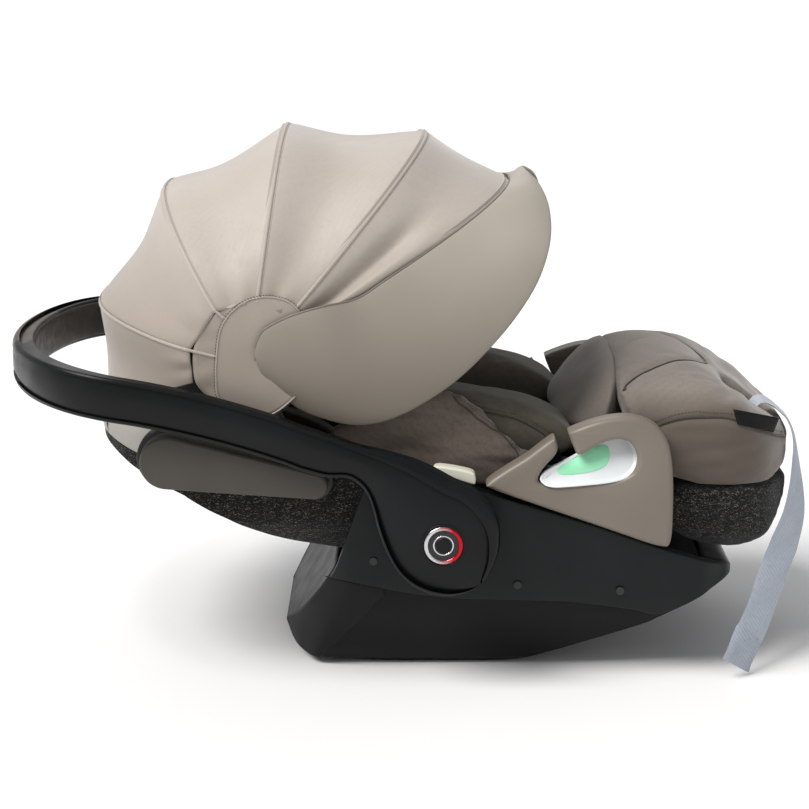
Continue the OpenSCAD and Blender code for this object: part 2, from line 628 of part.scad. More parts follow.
// ---------- release tabs ----------
module release_tab(s) {
    color("#ddd6c2") on_side(s) {
        prism_y([[42, 205], [56, 201.5], [67, 197.5], [68, 208], [61, 212], [43, 213.5]], 168, 185);
        translate([48, 168, 176]) cube([14, 3.4, 30]);
    }
}

base_shell();
side_cover(left);  // side_cover_left
side_cover(right);  // side_cover_right
rear_foot_cover();
base_latch_bars();
pivot_axles();
belt_guide(left);  // belt_guide_left
belt_guide(right);  // belt_guide_right
belt_guide_inserts();
belt_guide_markers();
seat_pan();
seat_cushion();
hip_straps();
crotch_strap();
buckle_housing();
buckle_tongues();
cover_screws();
handle_bar();
handle_trim();
hub_caps();
handle_button(left);  // handle_button_left
handle_button(right);  // handle_button_right
back_shell();
rear_vent_panel();
foam_liner();
back_cushion();
inlay();
side_wings();
canopy_pins();
color("#55504b") bow(0);  // rear_bow
canopy_back();
harness_straps();
lsp_guides();
headrest_shell();
headrest_cushion();
shoulder_pads();
lsp(left);  // lsp_left
lsp(right);  // lsp_right
color("#55504b") bow(1);  // bow_1
canopy_gore(1);  // canopy_1
color("#55504b") bow(2);  // bow_2
canopy_gore(2);  // canopy_2
color("#55504b") bow(3);  // bow_3
canopy_gore(3);  // canopy_3
color("#55504b") bow(4);  // visor_bow
canopy_gore(4);  // canopy_4
visor_panel();
leg_rest_shell();
leg_rest_cushion();
strap_guide();
adjuster_strap();
strap_end_tab();
cloth_tag();
release_tab(left);  // release_tab_left
release_tab(right);  // release_tab_right
buckle_button();
adjuster_lever();
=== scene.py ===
"""Looks of an infant car seat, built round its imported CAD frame.
Shapes are worked out in millimetres and turned to metres as each mesh is made."""
import math

import bmesh
import bpy
import numpy as np
from mathutils import Matrix, Vector, noise
from mathutils.bvhtree import BVHTree


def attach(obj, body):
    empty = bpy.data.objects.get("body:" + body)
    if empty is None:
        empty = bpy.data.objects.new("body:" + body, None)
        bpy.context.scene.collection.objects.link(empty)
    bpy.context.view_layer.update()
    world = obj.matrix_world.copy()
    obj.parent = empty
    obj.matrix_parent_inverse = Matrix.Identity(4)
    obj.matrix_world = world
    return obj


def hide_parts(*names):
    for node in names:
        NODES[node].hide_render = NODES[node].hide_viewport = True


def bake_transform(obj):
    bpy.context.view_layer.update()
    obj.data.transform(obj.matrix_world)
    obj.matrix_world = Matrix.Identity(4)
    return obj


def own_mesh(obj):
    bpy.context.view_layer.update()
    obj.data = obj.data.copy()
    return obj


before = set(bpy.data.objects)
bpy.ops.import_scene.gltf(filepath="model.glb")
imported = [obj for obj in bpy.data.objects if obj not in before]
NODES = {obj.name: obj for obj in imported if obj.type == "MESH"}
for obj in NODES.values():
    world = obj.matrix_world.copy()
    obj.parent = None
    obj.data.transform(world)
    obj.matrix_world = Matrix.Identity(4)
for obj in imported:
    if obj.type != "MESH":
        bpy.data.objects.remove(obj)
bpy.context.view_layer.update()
MM = 0.001
scene = bpy.context.scene


# ---------- camera, light and floor ----------
def aim(obj, target):
    obj.rotation_euler = (Vector(target) - obj.location).to_track_quat("-Z", "Y").to_euler()


def add_camera():
    elevation, distance, target = math.radians(13.3), 2.2, Vector((0, 0, 0.234))
    data = bpy.data.cameras.new("camera")
    data.sensor_width, data.lens = 36, 94.1
    cam = bpy.data.objects.new("camera", data)
    scene.collection.objects.link(cam)
    cam.location = target + distance * Vector((0, -math.cos(elevation), math.sin(elevation)))
    aim(cam, target)
    scene.camera = cam


def area_light(name, place, size, power, colour=(1, 1, 1)):
    data = bpy.data.lights.new(name, "AREA")
    data.size, data.energy, data.color = size, power, colour
    light = bpy.data.objects.new(name, data)
    light.location = place
    scene.collection.objects.link(light)
    aim(light, (0, 0, 0.25))


def add_lights():
    sun = bpy.data.lights.new("key", "SUN")
    sun.energy, sun.angle, sun.color = 3.6, math.radians(34), (1.0, 0.985, 0.965)
    key = bpy.data.objects.new("key", sun)
    key.location = (-1.5, -0.9, 2.2)
    scene.collection.objects.link(key)
    aim(key, (0, 0, 0))
    area_light("fill", (1.9, -1.7, 0.9), 1.8, 3, (0.94, 0.97, 1.0))
    area_light("back", (-0.4, 2.2, 1.9), 1.6, 9)
    world = bpy.data.worlds.new("studio")
    world.use_nodes = True
    world.node_tree.nodes["Background"].inputs["Color"].default_value = (0.98, 0.99, 1.0, 1)
    world.node_tree.nodes["Background"].inputs["Strength"].default_value = 0.45
    scene.world = world
    scene.view_settings.view_transform = "Standard"


add_camera()
add_lights()


# ---------- materials ----------
def srgb(r, g, b):
    return tuple(((c / 255 + 0.055) / 1.055) ** 2.4 if c > 10 else c / 255 / 12.92 for c in (r, g, b)) + (1,)


def shade(colour, gain, lift=0.0):
    """The same colour made lighter or darker."""
    return tuple(min(1, c * gain + lift) for c in colour[:3]) + (1,)


class Finish:
    """A Principled material whose colour, roughness and bump come from nodes in object space."""

    def __init__(self, name, colour, roughness, **shader):
        self.material = bpy.data.materials.new(name)
        self.material.use_nodes = True
        self.tree = self.material.node_tree
        self.shader = self.tree.nodes["Principled BSDF"]
        self.colour, self.roughness = colour, roughness
        self.shader.inputs["Base Color"].default_value = colour
        self.shader.inputs["Roughness"].default_value = roughness
        for key, value in shader.items():
            self.shader.inputs[key.replace("_", " ")].default_value = value
        self.material.diffuse_color = colour
        self.coords = self.tree.nodes.new("ShaderNodeTexCoord").outputs["Object"]
        self.height = None

    def link(self, a, b):
        self.tree.links.new(a, b)

    def place(self, stretch=(1, 1, 1), turn=(0, 0, 0)):
        node = self.tree.nodes.new("ShaderNodeMapping")
        node.inputs["Scale"].default_value = stretch
        node.inputs["Rotation"].default_value = [math.radians(a) for a in turn]
        self.link(self.coords, node.inputs["Vector"])
        return node.outputs["Vector"]

    def noise(self, scale, detail=3, stretch=(1, 1, 1), turn=(0, 0, 0), distortion=0):
        node = self.tree.nodes.new("ShaderNodeTexNoise")
        node.inputs["Scale"].default_value = scale
        node.inputs["Detail"].default_value = detail
        node.inputs["Distortion"].default_value = distortion
        self.link(self.place(stretch, turn), node.inputs["Vector"])
        return node.outputs["Fac"]

    def wave(self, scale, direction, turn=(0, 0, 0), distortion=0):
        node = self.tree.nodes.new("ShaderNodeTexWave")
        node.bands_direction = direction
        node.inputs["Scale"].default_value = scale
        node.inputs["Distortion"].default_value = distortion
        self.link(self.place((1, 1, 1), turn), node.inputs["Vector"])
        return node.outputs["Fac"]

    def cells(self, scale, stretch=(1, 1, 1), turn=(0, 0, 0), randomness=0.0):
        node = self.tree.nodes.new("ShaderNodeTexVoronoi")
        node.inputs["Scale"].default_value = scale
        node.inputs["Randomness"].default_value = randomness
        self.link(self.place(stretch, turn), node.inputs["Vector"])
        return node.outputs["Distance"]

    def along(self, axis):
        """Distance along X, Y or Z in metres."""
        node = self.tree.nodes.new("ShaderNodeSeparateXYZ")
        self.link(self.coords, node.inputs[0])
        return node.outputs[axis]

    def math(self, operation, a, b):
        node = self.tree.nodes.new("ShaderNodeMath")
        node.operation = operation
        for value, socket in zip((a, b), node.inputs):
            if isinstance(value, (int, float)):
                socket.default_value = value
            else:
                self.link(value, socket)
        return node.outputs[0]

    def spread(self, fac, low, high, to_low=0.0, to_high=1.0):
        node = self.tree.nodes.new("ShaderNodeMapRange")
        for key, value in zip(("From Min", "From Max", "To Min", "To Max"), (low, high, to_low, to_high)):
            node.inputs[key].default_value = value
        self.link(fac, node.inputs["Value"])
        return node.outputs["Result"]

    def tint(self, fac, other):
        """Turns the colour towards another where fac is 1."""
        node = self.tree.nodes.new("ShaderNodeMix")
        node.data_type = "RGBA"
        self.link(fac, node.inputs["Factor"])
        inputs = [s for s in node.inputs if s.type == "RGBA"]
        if self.shader.inputs["Base Color"].is_linked:
            self.link(self.shader.inputs["Base Color"].links[0].from_socket, inputs[0])
        else:
            inputs[0].default_value = self.colour
        inputs[1].default_value = other
        self.link([s for s in node.outputs if s.type == "RGBA"][0], self.shader.inputs["Base Color"])
        return self

    def rough(self, fac, low, high):
        self.link(self.spread(fac, 0.3, 0.7, low, high), self.shader.inputs["Roughness"])
        return self

    def bump(self, fac, depth):
        """Raises the surface by depth millimetres where fac is 1."""
        node = self.tree.nodes.new("ShaderNodeBump")
        node.inputs["Strength"].default_value = 1.0
        node.inputs["Distance"].default_value = depth * MM
        self.link(fac, node.inputs["Height"])
        if self.height is not None:
            self.link(self.height, node.inputs["Normal"])
        self.height = node.outputs["Normal"]
        self.link(self.height, self.shader.inputs["Normal"])
        return self


def moulded(name, colour, roughness, grain=0.02, wear=None, spec=0.4):
    """Moulded plastic: a fine spark-eroded grain, uneven gloss and slight handling marks."""
    f = Finish(name, colour, roughness, Specular_IOR_Level=spec)
    f.bump(f.noise(1500, 2), grain)
    f.bump(f.noise(14, 2), 0.12)
    f.rough(f.noise(35, 4), roughness - 0.05, roughness + 0.07)
    f.tint(f.spread(f.noise(9, 5), 0.45, 0.75), wear or shade(colour, 1.25, 0.002))
    return f


def woven(name, colour, dark, roughness=0.85, pitch=1.1, depth=0.05, sheen=0.25, contrast=0.35):
    """Woven cloth: two crossed yarn directions, slubs and soft shade changes."""
    f = Finish(name, colour, roughness, Sheen_Weight=sheen, Sheen_Roughness=0.45, Specular_IOR_Level=0.25)
    scale = 1000 / pitch / 6.28
    warp, weft = f.wave(scale, "X", (0, 35, 0), 0.6), f.wave(scale, "DIAGONAL", (20, 0, 40), 0.6)
    yarn = f.math("MULTIPLY", warp, weft)
    f.bump(yarn, depth)
    f.bump(f.noise(700, 3), depth * 1.6)
    f.tint(f.spread(yarn, 0.15, 0.7, contrast, 0.0), dark)
    f.tint(f.spread(f.noise(320, 2), 0.5, 0.75, 0.0, contrast * 1.3), dark)
    f.tint(f.spread(f.noise(11, 3), 0.4, 0.75, 0.0, 0.3), dark)
    f.rough(f.noise(60, 3), roughness - 0.08, roughness + 0.05)
    return f


def metal(name, colour, roughness):
    f = Finish(name, colour, roughness, Metallic=1.0)
    f.bump(f.noise(400, 3, (1, 0.05, 1)), 0.01)
    f.rough(f.noise(120, 3), roughness - 0.05, roughness + 0.12)
    f.tint(f.spread(f.noise(30, 4), 0.5, 0.8), shade(colour, 0.75))
    return f


def melange_knit(name, base, fleck, share):
    """Dark knit flecked with pale yarn in short wavy dashes."""
    f = Finish(name, base, 0.9, Sheen_Weight=0.15, Specular_IOR_Level=0.2)
    dash = f.noise(520, 2, (0.55, 0.8, 1.5), (0, 25, 10), 2.2)
    loops = f.noise(900, 2)
    f.bump(dash, 0.5)
    f.bump(loops, 0.2)
    f.tint(f.spread(dash, share, share + 0.05), fleck)
    f.tint(f.spread(f.noise(60, 3), 0.45, 0.8, 0.0, 0.5), base)
    return f


def perforated(name, base, hole, pitch):
    """Spacer mesh: rows of small dark holes in pale cloth."""
    f = Finish(name, base, 0.8, Sheen_Weight=0.2)
    dots = f.cells(1000 / pitch, (1, 0.01, 1), (0, 45, 0))
    hollow = f.spread(dots, 0.22, 0.34, 1.0, 0.0)
    f.tint(hollow, hole)
    f.bump(f.math("SUBTRACT", 1.0, hollow), 0.4)
    f.bump(f.noise(600, 2), 0.1)
    f.tint(f.spread(f.noise(25, 4), 0.45, 0.8, 0, 0.4), shade(base, 0.7))
    return f


SHELL = moulded("shell_satin", srgb(14, 16, 15), 0.42, 0.015, srgb(20, 22, 21), 0.14)
COVER = moulded("cover_satin", srgb(17, 20, 21), 0.4, 0.015, srgb(25, 28, 29), 0.2)
FOOT = moulded("foot_satin", srgb(23, 25, 24), 0.5, 0.02, srgb(29, 31, 29), 0.12)
HANDLE = moulded("handle_satin", srgb(7, 9, 10), 0.36, 0.012, srgb(13, 16, 18), 0.24)
_width = HANDLE.math("ABSOLUTE", HANDLE.along("Y"), 0)
_slant = HANDLE.math("ADD", _width, HANDLE.math("MULTIPLY", HANDLE.along("Z"), 0.7))
HANDLE.tint(HANDLE.math("MULTIPLY", HANDLE.spread(_slant, 0.298, 0.302, 1.0, 0.0),
                        HANDLE.spread(HANDLE.along("X"), -0.30, -0.29, 1.0, 0.0)), srgb(72, 65, 57))
GUIDE = moulded("guide_taupe", srgb(114, 105, 95), 0.4, 0.015, srgb(122, 113, 103), 0.5)
VISOR = moulded("visor_taupe", srgb(154, 147, 137), 0.48, 0.03, srgb(160, 153, 143))
# Painted shade: the visor's colour turns darker towards its lower edge, standing in for less light reaching
# the lower part from above.
VISOR.tint(VISOR.spread(VISOR.along("Z"), 0.29, 0.44, 1.0, 0.0), srgb(119, 111, 100))
LSP = moulded("pad_taupe", srgb(66, 63, 57), 0.45, 0.03, srgb(76, 72, 66), 0.3)
DARK = moulded("dark_plastic", srgb(34, 35, 36), 0.5, 0.03)
GREY = moulded("buckle_plastic", srgb(78, 80, 82), 0.42, 0.03)
BOW = woven("bow_sleeve", srgb(172, 163, 155), srgb(150, 140, 131), 0.55, 0.6, 0.02, 0.3, 0.2)
TAB = moulded("tab_cream", srgb(214, 211, 196), 0.45, 0.02)
WHITE = moulded("dish_silver", srgb(226, 229, 230), 0.3, 0.01, srgb(205, 209, 212), 0.6)
MINT = moulded("mint_marker", srgb(142, 222, 176), 0.5, 0.02, srgb(160, 230, 190))
RED = moulded("button_red", srgb(186, 32, 38), 0.3, 0.01, srgb(205, 48, 52))
FOAM = moulded("foam_white", srgb(228, 226, 219), 0.85, 0.3)
STEEL = metal("steel", srgb(176, 179, 182), 0.32)
CHROME = metal("chrome", srgb(214, 214, 216), 0.12)
CANOPY = woven("canopy_satin", srgb(180, 171, 163), srgb(156, 146, 137), 0.5, 0.6, 0.02, 0.35, 0.2)
# Painted shade: the canopy cloth turns darker towards the bottom, standing in for less light reaching the
# lower gores from above.
CANOPY.tint(CANOPY.spread(CANOPY.along("Z"), 0.33, 0.45, 0.9, 0.0), srgb(143, 133, 123))
CANOPY_EDGE = woven("canopy_tape", srgb(174, 165, 157), srgb(150, 140, 131), 0.55, 0.6, 0.03, 0.3, 0.25)
SEAT = woven("seat_cloth", srgb(104, 96, 88), srgb(80, 73, 66), 0.8, 0.7)
SEAT_LIGHT = woven("seat_cloth_light", srgb(132, 124, 117), srgb(106, 98, 90), 0.75, 0.7)
OFF_MIDDLE = SEAT_LIGHT.math("ABSOLUTE", SEAT_LIGHT.along("Y"), 0)
SEAT_LIGHT.tint(SEAT_LIGHT.spread(OFF_MIDDLE, 0.128, 0.156, 0.0, 0.95), srgb(84, 75, 67))
WING = woven("wing_cloth", srgb(108, 97, 88), srgb(70, 61, 54), 0.55, 0.7, 0.04, 0.4)
INLAY = woven("inlay_cloth", srgb(98, 93, 82), srgb(74, 70, 61), 0.85, 0.7)
PIPING = woven("piping", srgb(74, 67, 60), srgb(52, 47, 42), 0.8, 0.6)
KNIT = melange_knit("melange_knit", srgb(9, 9, 9), srgb(122, 120, 112), 0.6)
MESH = perforated("mesh_white", srgb(174, 170, 163), srgb(112, 107, 101), 3.4)
WEB = woven("web_black", srgb(38, 39, 41), srgb(22, 22, 24), 0.7, 1.6, 0.12, 0.1)
WEB_GREY = woven("web_grey", srgb(176, 182, 192), srgb(140, 148, 160), 0.6, 1.4, 0.1, 0.2)
TAB_GREY = woven("tab_grey", srgb(172, 178, 188), srgb(128, 136, 148), 0.6, 1.4, 0.12, 0.2)
TAG = woven("tag_black", srgb(13, 13, 14), srgb(8, 8, 9), 0.75, 0.7, 0.06, 0.0)
THREAD = woven("thread_dark", srgb(72, 62, 54), srgb(50, 43, 38), 0.8, 0.6)
THREAD_LIGHT = woven("thread_light", srgb(150, 139, 128), srgb(120, 110, 100), 0.8, 0.6)
LEATHER = Finish("trim_leatherette", srgb(62, 56, 50), 0.5, Specular_IOR_Level=0.3)
LEATHER.bump(LEATHER.cells(520, (1, 1, 1), (0, 0, 0), 1.0), 0.12)
LEATHER.tint(LEATHER.spread(LEATHER.noise(18, 2), 0.4, 0.75), srgb(50, 45, 40))
LEATHER.rough(LEATHER.noise(80, 3), 0.42, 0.6)
FLOOR = Finish("studio_floor", srgb(232, 232, 232), 0.9, Specular_IOR_Level=0.1)
FLOOR.rough(FLOOR.noise(3, 3), 0.62, 0.75)


# ---------- shape helpers, all in millimetres ----------
def lerp(a, b, t):
    return a + (b - a) * t


def smoothstep(t):
    t = np.clip(t, 0, 1)
    return t * t * (3 - 2 * t)


def unit(v):
    return v / max(np.linalg.norm(v), 1e-9)


def spline(points, n, closed=False):
    """n points evenly spaced along a Catmull-Rom curve through the given points."""
    p = np.array(points, float)
    ends = (p[-1:], p[:2]) if closed else (2 * p[:1] - p[1:2], 2 * p[-1:] - p[-2:-1])
    q = np.concatenate([ends[0], p, ends[1]])
    t = np.linspace(0, 1, 17)[:-1, None]
    out = []
    for a, b, c, d in zip(q, q[1:], q[2:], q[3:]):
        out.append(0.5 * (2 * b + (c - a) * t + (2 * a - 5 * b + 4 * c - d) * t**2
                          + (3 * b - a - 3 * c + d) * t**3))
    out = np.concatenate([*out, p[:1] if closed else p[-1:]])
    along = np.r_[0, np.cumsum(np.linalg.norm(np.diff(out, axis=0), axis=1))]
    where = np.linspace(0, along[-1], n + 1 if closed else n)[: n]
    return np.stack([np.interp(where, along, out[:, k]) for k in range(p.shape[1])], 1)


def chaikin(points, k):
    """Rounds a closed outline by cutting its corners k times."""
    p = np.array(points, float)
    for _ in range(k):
        q = np.roll(p, -1, 0)
        p = np.stack([lerp(p, q, 0.25), lerp(p, q, 0.75)], 1).reshape(-1, p.shape[1])
    return p


def inset(outline, d):
    """Moves a closed anticlockwise outline inwards by d."""
    e = np.roll(outline, -1, 0) - outline
    n = np.stack([-e[:, 1], e[:, 0]], 1) / np.maximum(np.linalg.norm(e, axis=1), 1e-9)[:, None]
    m = n + np.roll(n, 1, 0)
    m /= np.maximum((m * m).sum(1), 0.5)[:, None] / 2
    return outline + d * m


def around(n):
    """n angles, evenly spaced round a full turn."""
    return np.linspace(0, 2 * math.pi, n, endpoint=False)


def room(outline):
    """How far each point of an anticlockwise outline can move in before the skin folds over."""
    e = np.roll(outline, -1, 0) - outline
    step = np.maximum(np.linalg.norm(e, axis=1), 1e-9)
    n = np.stack([-e[:, 1], e[:, 0]], 1) / step[:, None]
    m = n + np.roll(n, 1, 0)
    m /= np.maximum(np.linalg.norm(m, axis=1), 1e-9)[:, None]
    limit = np.full(len(outline), 99.0)
    for i, (p, d) in enumerate(zip(outline, m)):
        gap = outline - p
        det = d[0] * e[:, 1] - d[1] * e[:, 0]
        safe = np.where(np.abs(det) < 1e-9, 1e-9, det)
        far = (gap[:, 0] * e[:, 1] - gap[:, 1] * e[:, 0]) / safe
        on = (gap[:, 0] * d[1] - gap[:, 1] * d[0]) / safe
        hit = (np.abs(det) > 1e-9) & (on >= 0) & (on <= 1) & (far > 0.4)
        if hit.any():
            limit[i] = 0.4 * far[hit].min()
    before = np.roll(n, 1, 0)
    turn = np.arctan2(before[:, 0] * n[:, 1] - before[:, 1] * n[:, 0], (before * n).sum(1))
    radius = 0.5 * (step + np.roll(step, 1)) / np.maximum(turn, 1e-4)
    limit = np.minimum(limit, 0.75 * radius)
    for _ in range(len(outline)):
        limit = np.minimum(limit, np.roll(limit, 1) + 0.5 * np.roll(step, 1))
        limit = np.minimum(limit, np.roll(limit, -1) + 0.5 * step)
    return limit[:, None]


def add_mesh(name, verts, faces, sharp=38):
    mesh = bpy.data.meshes.new(name)
    mesh.from_pydata((np.array(verts, float) * MM).tolist(), [], faces)
    mesh.shade_smooth()
    if sharp:
        mesh.set_sharp_from_angle(angle=math.radians(sharp))
    obj = bpy.data.objects.new(name, mesh)
    scene.collection.objects.link(obj)
    return obj


def grid_faces(rows, cols, wrap=False):
    wide = cols if wrap else cols - 1
    return [(r * cols + c, r * cols + (c + 1) % cols, (r + 1) * cols + (c + 1) % cols, (r + 1) * cols + c)
            for r in range(rows - 1) for c in range(wide)]


def loft(name, rings, sharp=38, wrap_path=False):
    """Closed skin through rings of equal size, with flat ends."""
    rings = np.array(rings, float)
    k, m = rings.shape[:2]
    faces = grid_faces(k, m, True)
    if wrap_path:
        faces += [((k - 1) * m + c, (k - 1) * m + (c + 1) % m, (c + 1) % m, c) for c in range(m)]
    else:
        faces += [tuple(range(m - 1, -1, -1)), tuple(range((k - 1) * m, k * m))]
    return mend(add_mesh(name, rings.reshape(-1, 3), faces, sharp))


def mend(obj):
    """Makes the faces look outwards."""
    bm = bmesh.new()
    bm.from_mesh(obj.data)
    bmesh.ops.recalc_face_normals(bm, faces=bm.faces)
    bm.to_mesh(obj.data)
    bm.free()
    return obj


def apply_modifiers(obj):
    bpy.context.view_layer.update()
    graph = bpy.context.evaluated_depsgraph_get()
    mesh = bpy.data.meshes.new_from_object(obj.evaluated_get(graph))
    obj.modifiers.clear()
    obj.data = mesh
    return obj


def thicken(obj, t):
    """Gives an open sheet a thickness of t millimetres inwards, with a closed rim."""
    m = obj.modifiers.new("thickness", "SOLIDIFY")
    m.thickness, m.offset, m.use_quality_normals = t * MM, -1, True
    apply_modifiers(obj)
    return obj


def plate(name, outline, y0, y1, bevel, steps=4, back_bevel=None):
    """Board in the side view from y0 to y1, with its edges rolled over on both faces."""
    rings = []
    back = bevel if back_bevel is None else back_bevel
    sign = 1 if y1 > y0 else -1
    free = room(outline)
    for k in range(steps + 1):
        a = math.pi / 2 * k / steps
        rings.append((inset(outline, np.minimum(back, free) * (1 - math.sin(a))),
                      y0 + sign * back * (1 - math.cos(a))))
    for k in range(steps + 1):
        a = math.pi / 2 * k / steps
        rings.append((inset(outline, np.minimum(bevel, free) * (1 - math.cos(a))),
                      y1 - sign * bevel * (1 - math.sin(a))))
    return loft(name, [np.c_[o[:, 0], np.full(len(o), y), o[:, 1]] for o, y in rings], 50)


def frames_along(path):
    """Tangent and two side directions at each point, turned as little as possible."""
    path = np.array(path, float)
    tangent = np.gradient(path, axis=0)
    tangent /= np.maximum(np.linalg.norm(tangent, axis=1), 1e-9)[:, None]
    side = unit(np.cross(tangent[0], [0.0, 0.3, 1.0] if abs(tangent[0][2]) < 0.8 else [1.0, 0.2, 0]))
    out = []
    for t in tangent:
        side = unit(side - t * side.dot(t))
        out.append((t, side, np.cross(t, side)))
    return out


def tube(name, path, r, sides=8, flat=1.0, normals=None):
    """Round or flattened cord along a path; normals say which way its flat side looks."""
    rings = []
    for i, (p, (t, a, b)) in enumerate(zip(np.array(path, float), frames_along(path))):
        if normals is not None:
            b = unit(normals[i] - t * np.dot(normals[i], t))
            a = np.cross(b, t)
        rings.append([p + r * math.cos(u) * a + r * flat * math.sin(u) * b
                      for u in around(sides)])
    return loft(name, rings, 60)


def stitches(name, path, normals, pitch=3.2, share=0.6, width=0.45, lift=0.5):
    """Row of short raised thread pieces along a path."""
    path = np.array(path, float)
    along = np.r_[0, np.cumsum(np.linalg.norm(np.diff(path, axis=0), axis=1))]
    verts, faces = [], []
    for s in np.arange(pitch / 2, along[-1] - pitch / 2, pitch):
        at = [np.array([np.interp(s + d * pitch * share / 2, along, path[:, k]) for k in range(3)])
              for d in (-1, 0, 1)]
        n = unit(np.array([np.interp(s, along, np.array(normals)[:, k]) for k in range(3)]))
        t = unit(at[2] - at[0])
        w = np.cross(t, n) * width
        base = len(verts)
        for p, grow, up in ((at[0], 0.4, 0.0), (at[1], 1.0, lift), (at[2], 0.4, 0.0)):
            verts += [p - w * grow, p + n * (up + width * 0.5), p + w * grow, p - n * width * 0.5]
        for r in (0, 4):
            faces += [(base + r + c, base + r + (c + 1) % 4, base + r + 4 + (c + 1) % 4, base + r + 4 + c)
                      for c in range(4)]
        faces += [(base + 3, base + 2, base + 1, base), tuple(base + 8 + c for c in range(4))]
    return mend(add_mesh(name, verts, faces, 80))


def join(name, *parts):
    """One object from several, keeping their materials."""
    bm = bmesh.new()
    materials = []
    for part in parts:
        shift = len(materials)
        materials += list(part.data.materials) or [None]
        start = len(bm.faces)
        bm.from_mesh(part.data)
        bm.faces.ensure_lookup_table()
        for face in bm.faces[start:]:
            face.material_index += shift
        bpy.data.objects.remove(part)
    mesh = bpy.data.meshes.new(name)
    bm.to_mesh(mesh)
    bm.free()
    for m in materials:
        mesh.materials.append(m)
    obj = bpy.data.objects.new(name, mesh)
    scene.collection.objects.link(obj)
    return obj


def paint(obj, *finishes):
    obj.data.materials.clear()
    for f in finishes:
        obj.data.materials.append(f.material)
    return obj


def fit(obj, body, finish, slot, *replaced):
    """Finishes a piece, hangs it on its CAD body and hides the CAD nodes it stands for."""
    if finish is not None:
        paint(obj, finish)
    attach(obj, body)
    if replaced:
        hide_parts(*replaced)
    return obj


def mirror_y(points):
    return np.array(points, float) * [1, -1, 1]


def coords(obj):
    co = np.zeros(len(obj.data.vertices) * 3)
    obj.data.vertices.foreach_get("co", co)
    return co.reshape(-1, 3) / MM


def set_coords(obj, co):
    obj.data.vertices.foreach_set("co", (co * MM).ravel())
    obj.data.update()


def normals_of(obj):
    n = np.zeros(len(obj.data.vertices) * 3, np.float32)
    obj.data.vertices.foreach_get("normal", n)
    return n.reshape(-1, 3).astype(float)


# ---------- the adjuster strap ----------
STRAP_W = 38
STRAP = [[349, -60, 231], [349.5, -60, 241], [353, -61, 250], [360, -62, 254], [368, -64, 251.5],
         [377, -67, 245], [386, -72, 235.5], [392, -79, 219], [393.5, -88, 197], [392.5, -99, 172],
         [388, -111, 147], [378.5, -123, 121], [367, -135, 96], [357, -147, 73], [347, -157, 53],
         [340, -164, 41]]
STRAP_END = [[340, -164, 41], [336, -168, 34], [332, -172, 26], [328, -175.5, 18], [325.5, -178, 12.5]]


def ribbon(name, path, half_width, half_thick, curl=0.0):
    """Flat webbing with rounded selvedges; its width lies across the seat and turns as it hangs."""
    tangents = [f[0] for f in frames_along(path)]
    rings = []
    for i, (p, t) in enumerate(zip(path, tangents)):
        a = unit(lerp(np.array([0.82, 0.57, 0]), np.array([0, 1.0, 0]), min(1, max(0, (p[2] - 120) / 120))))
        w = unit(a - t * a.dot(t))
        n = np.cross(t, w)
        wobble = curl * math.sin(i * 0.21) * n
        ring = []
        for u in np.linspace(-1, 1, 9):
            ring.append(p + w * u * half_width + n * (half_thick * (1 - abs(u) ** 8)) + wobble * u * u)
        for u in np.linspace(1, -1, 9):
            ring.append(p + w * u * half_width - n * (half_thick * (1 - abs(u) ** 8)) + wobble * u * u)
        rings.append(ring)
    return loft(name, rings, 70)


strap_path = spline(STRAP, 70)
strap = ribbon("adjuster_webbing", strap_path, STRAP_W / 2, 1.0, 0.8)
fit(strap, "leg_rest", WEB_GREY, "web_grey", "adjuster_strap")
end_path = spline(STRAP_END, 14)
strap_end = ribbon("webbing_sewn_end", end_path, STRAP_W / 2 + 0.5, 2.0)
fit(strap_end, "leg_rest", TAB_GREY, "tab_grey", "strap_end_tab")


# ---------- canopy ----------
AXIS_X, AXIS_Z = -146, 319
BOW_ANGLE = [168.5, 123, 82.5, 49.5, 31]
BOW_RADIUS = [166, 174, 206, 258, 291]
HALF = [172, 176, 180, 184, 188]
HUB_R = 58
FLARE = 186.5


def arch_point(angle, r, w, t):
    """Point and outward normal of the bow arch at angle, at parameter t in degrees from one side."""
    s, c = math.sin(math.radians(t)), math.cos(math.radians(t))
    rad, y = r * abs(s) ** (2 / 2.4), w * math.copysign(abs(c) ** (2 / 2.4), c)
    near = w * abs(1 - (HUB_R / r) ** 2.4) ** (1 / 2.4)
    y += math.copysign((FLARE - near) * math.exp(-(((max(rad, HUB_R) - HUB_R) / 62) ** 2)), c)
    a = math.radians(angle)
    out = np.array([math.cos(a), 0, math.sin(a)])
    n = (rad / r) ** 1.4 / r * out + np.array([0, math.copysign((min(1, abs(y) / w)) ** 1.4 / w, c), 0])
    return np.array([AXIS_X, 0, AXIS_Z]) + rad * out + np.array([0, y, 0]), unit(n), rad


def start_angle(r):
    return math.degrees(math.asin((HUB_R / r) ** 1.2))


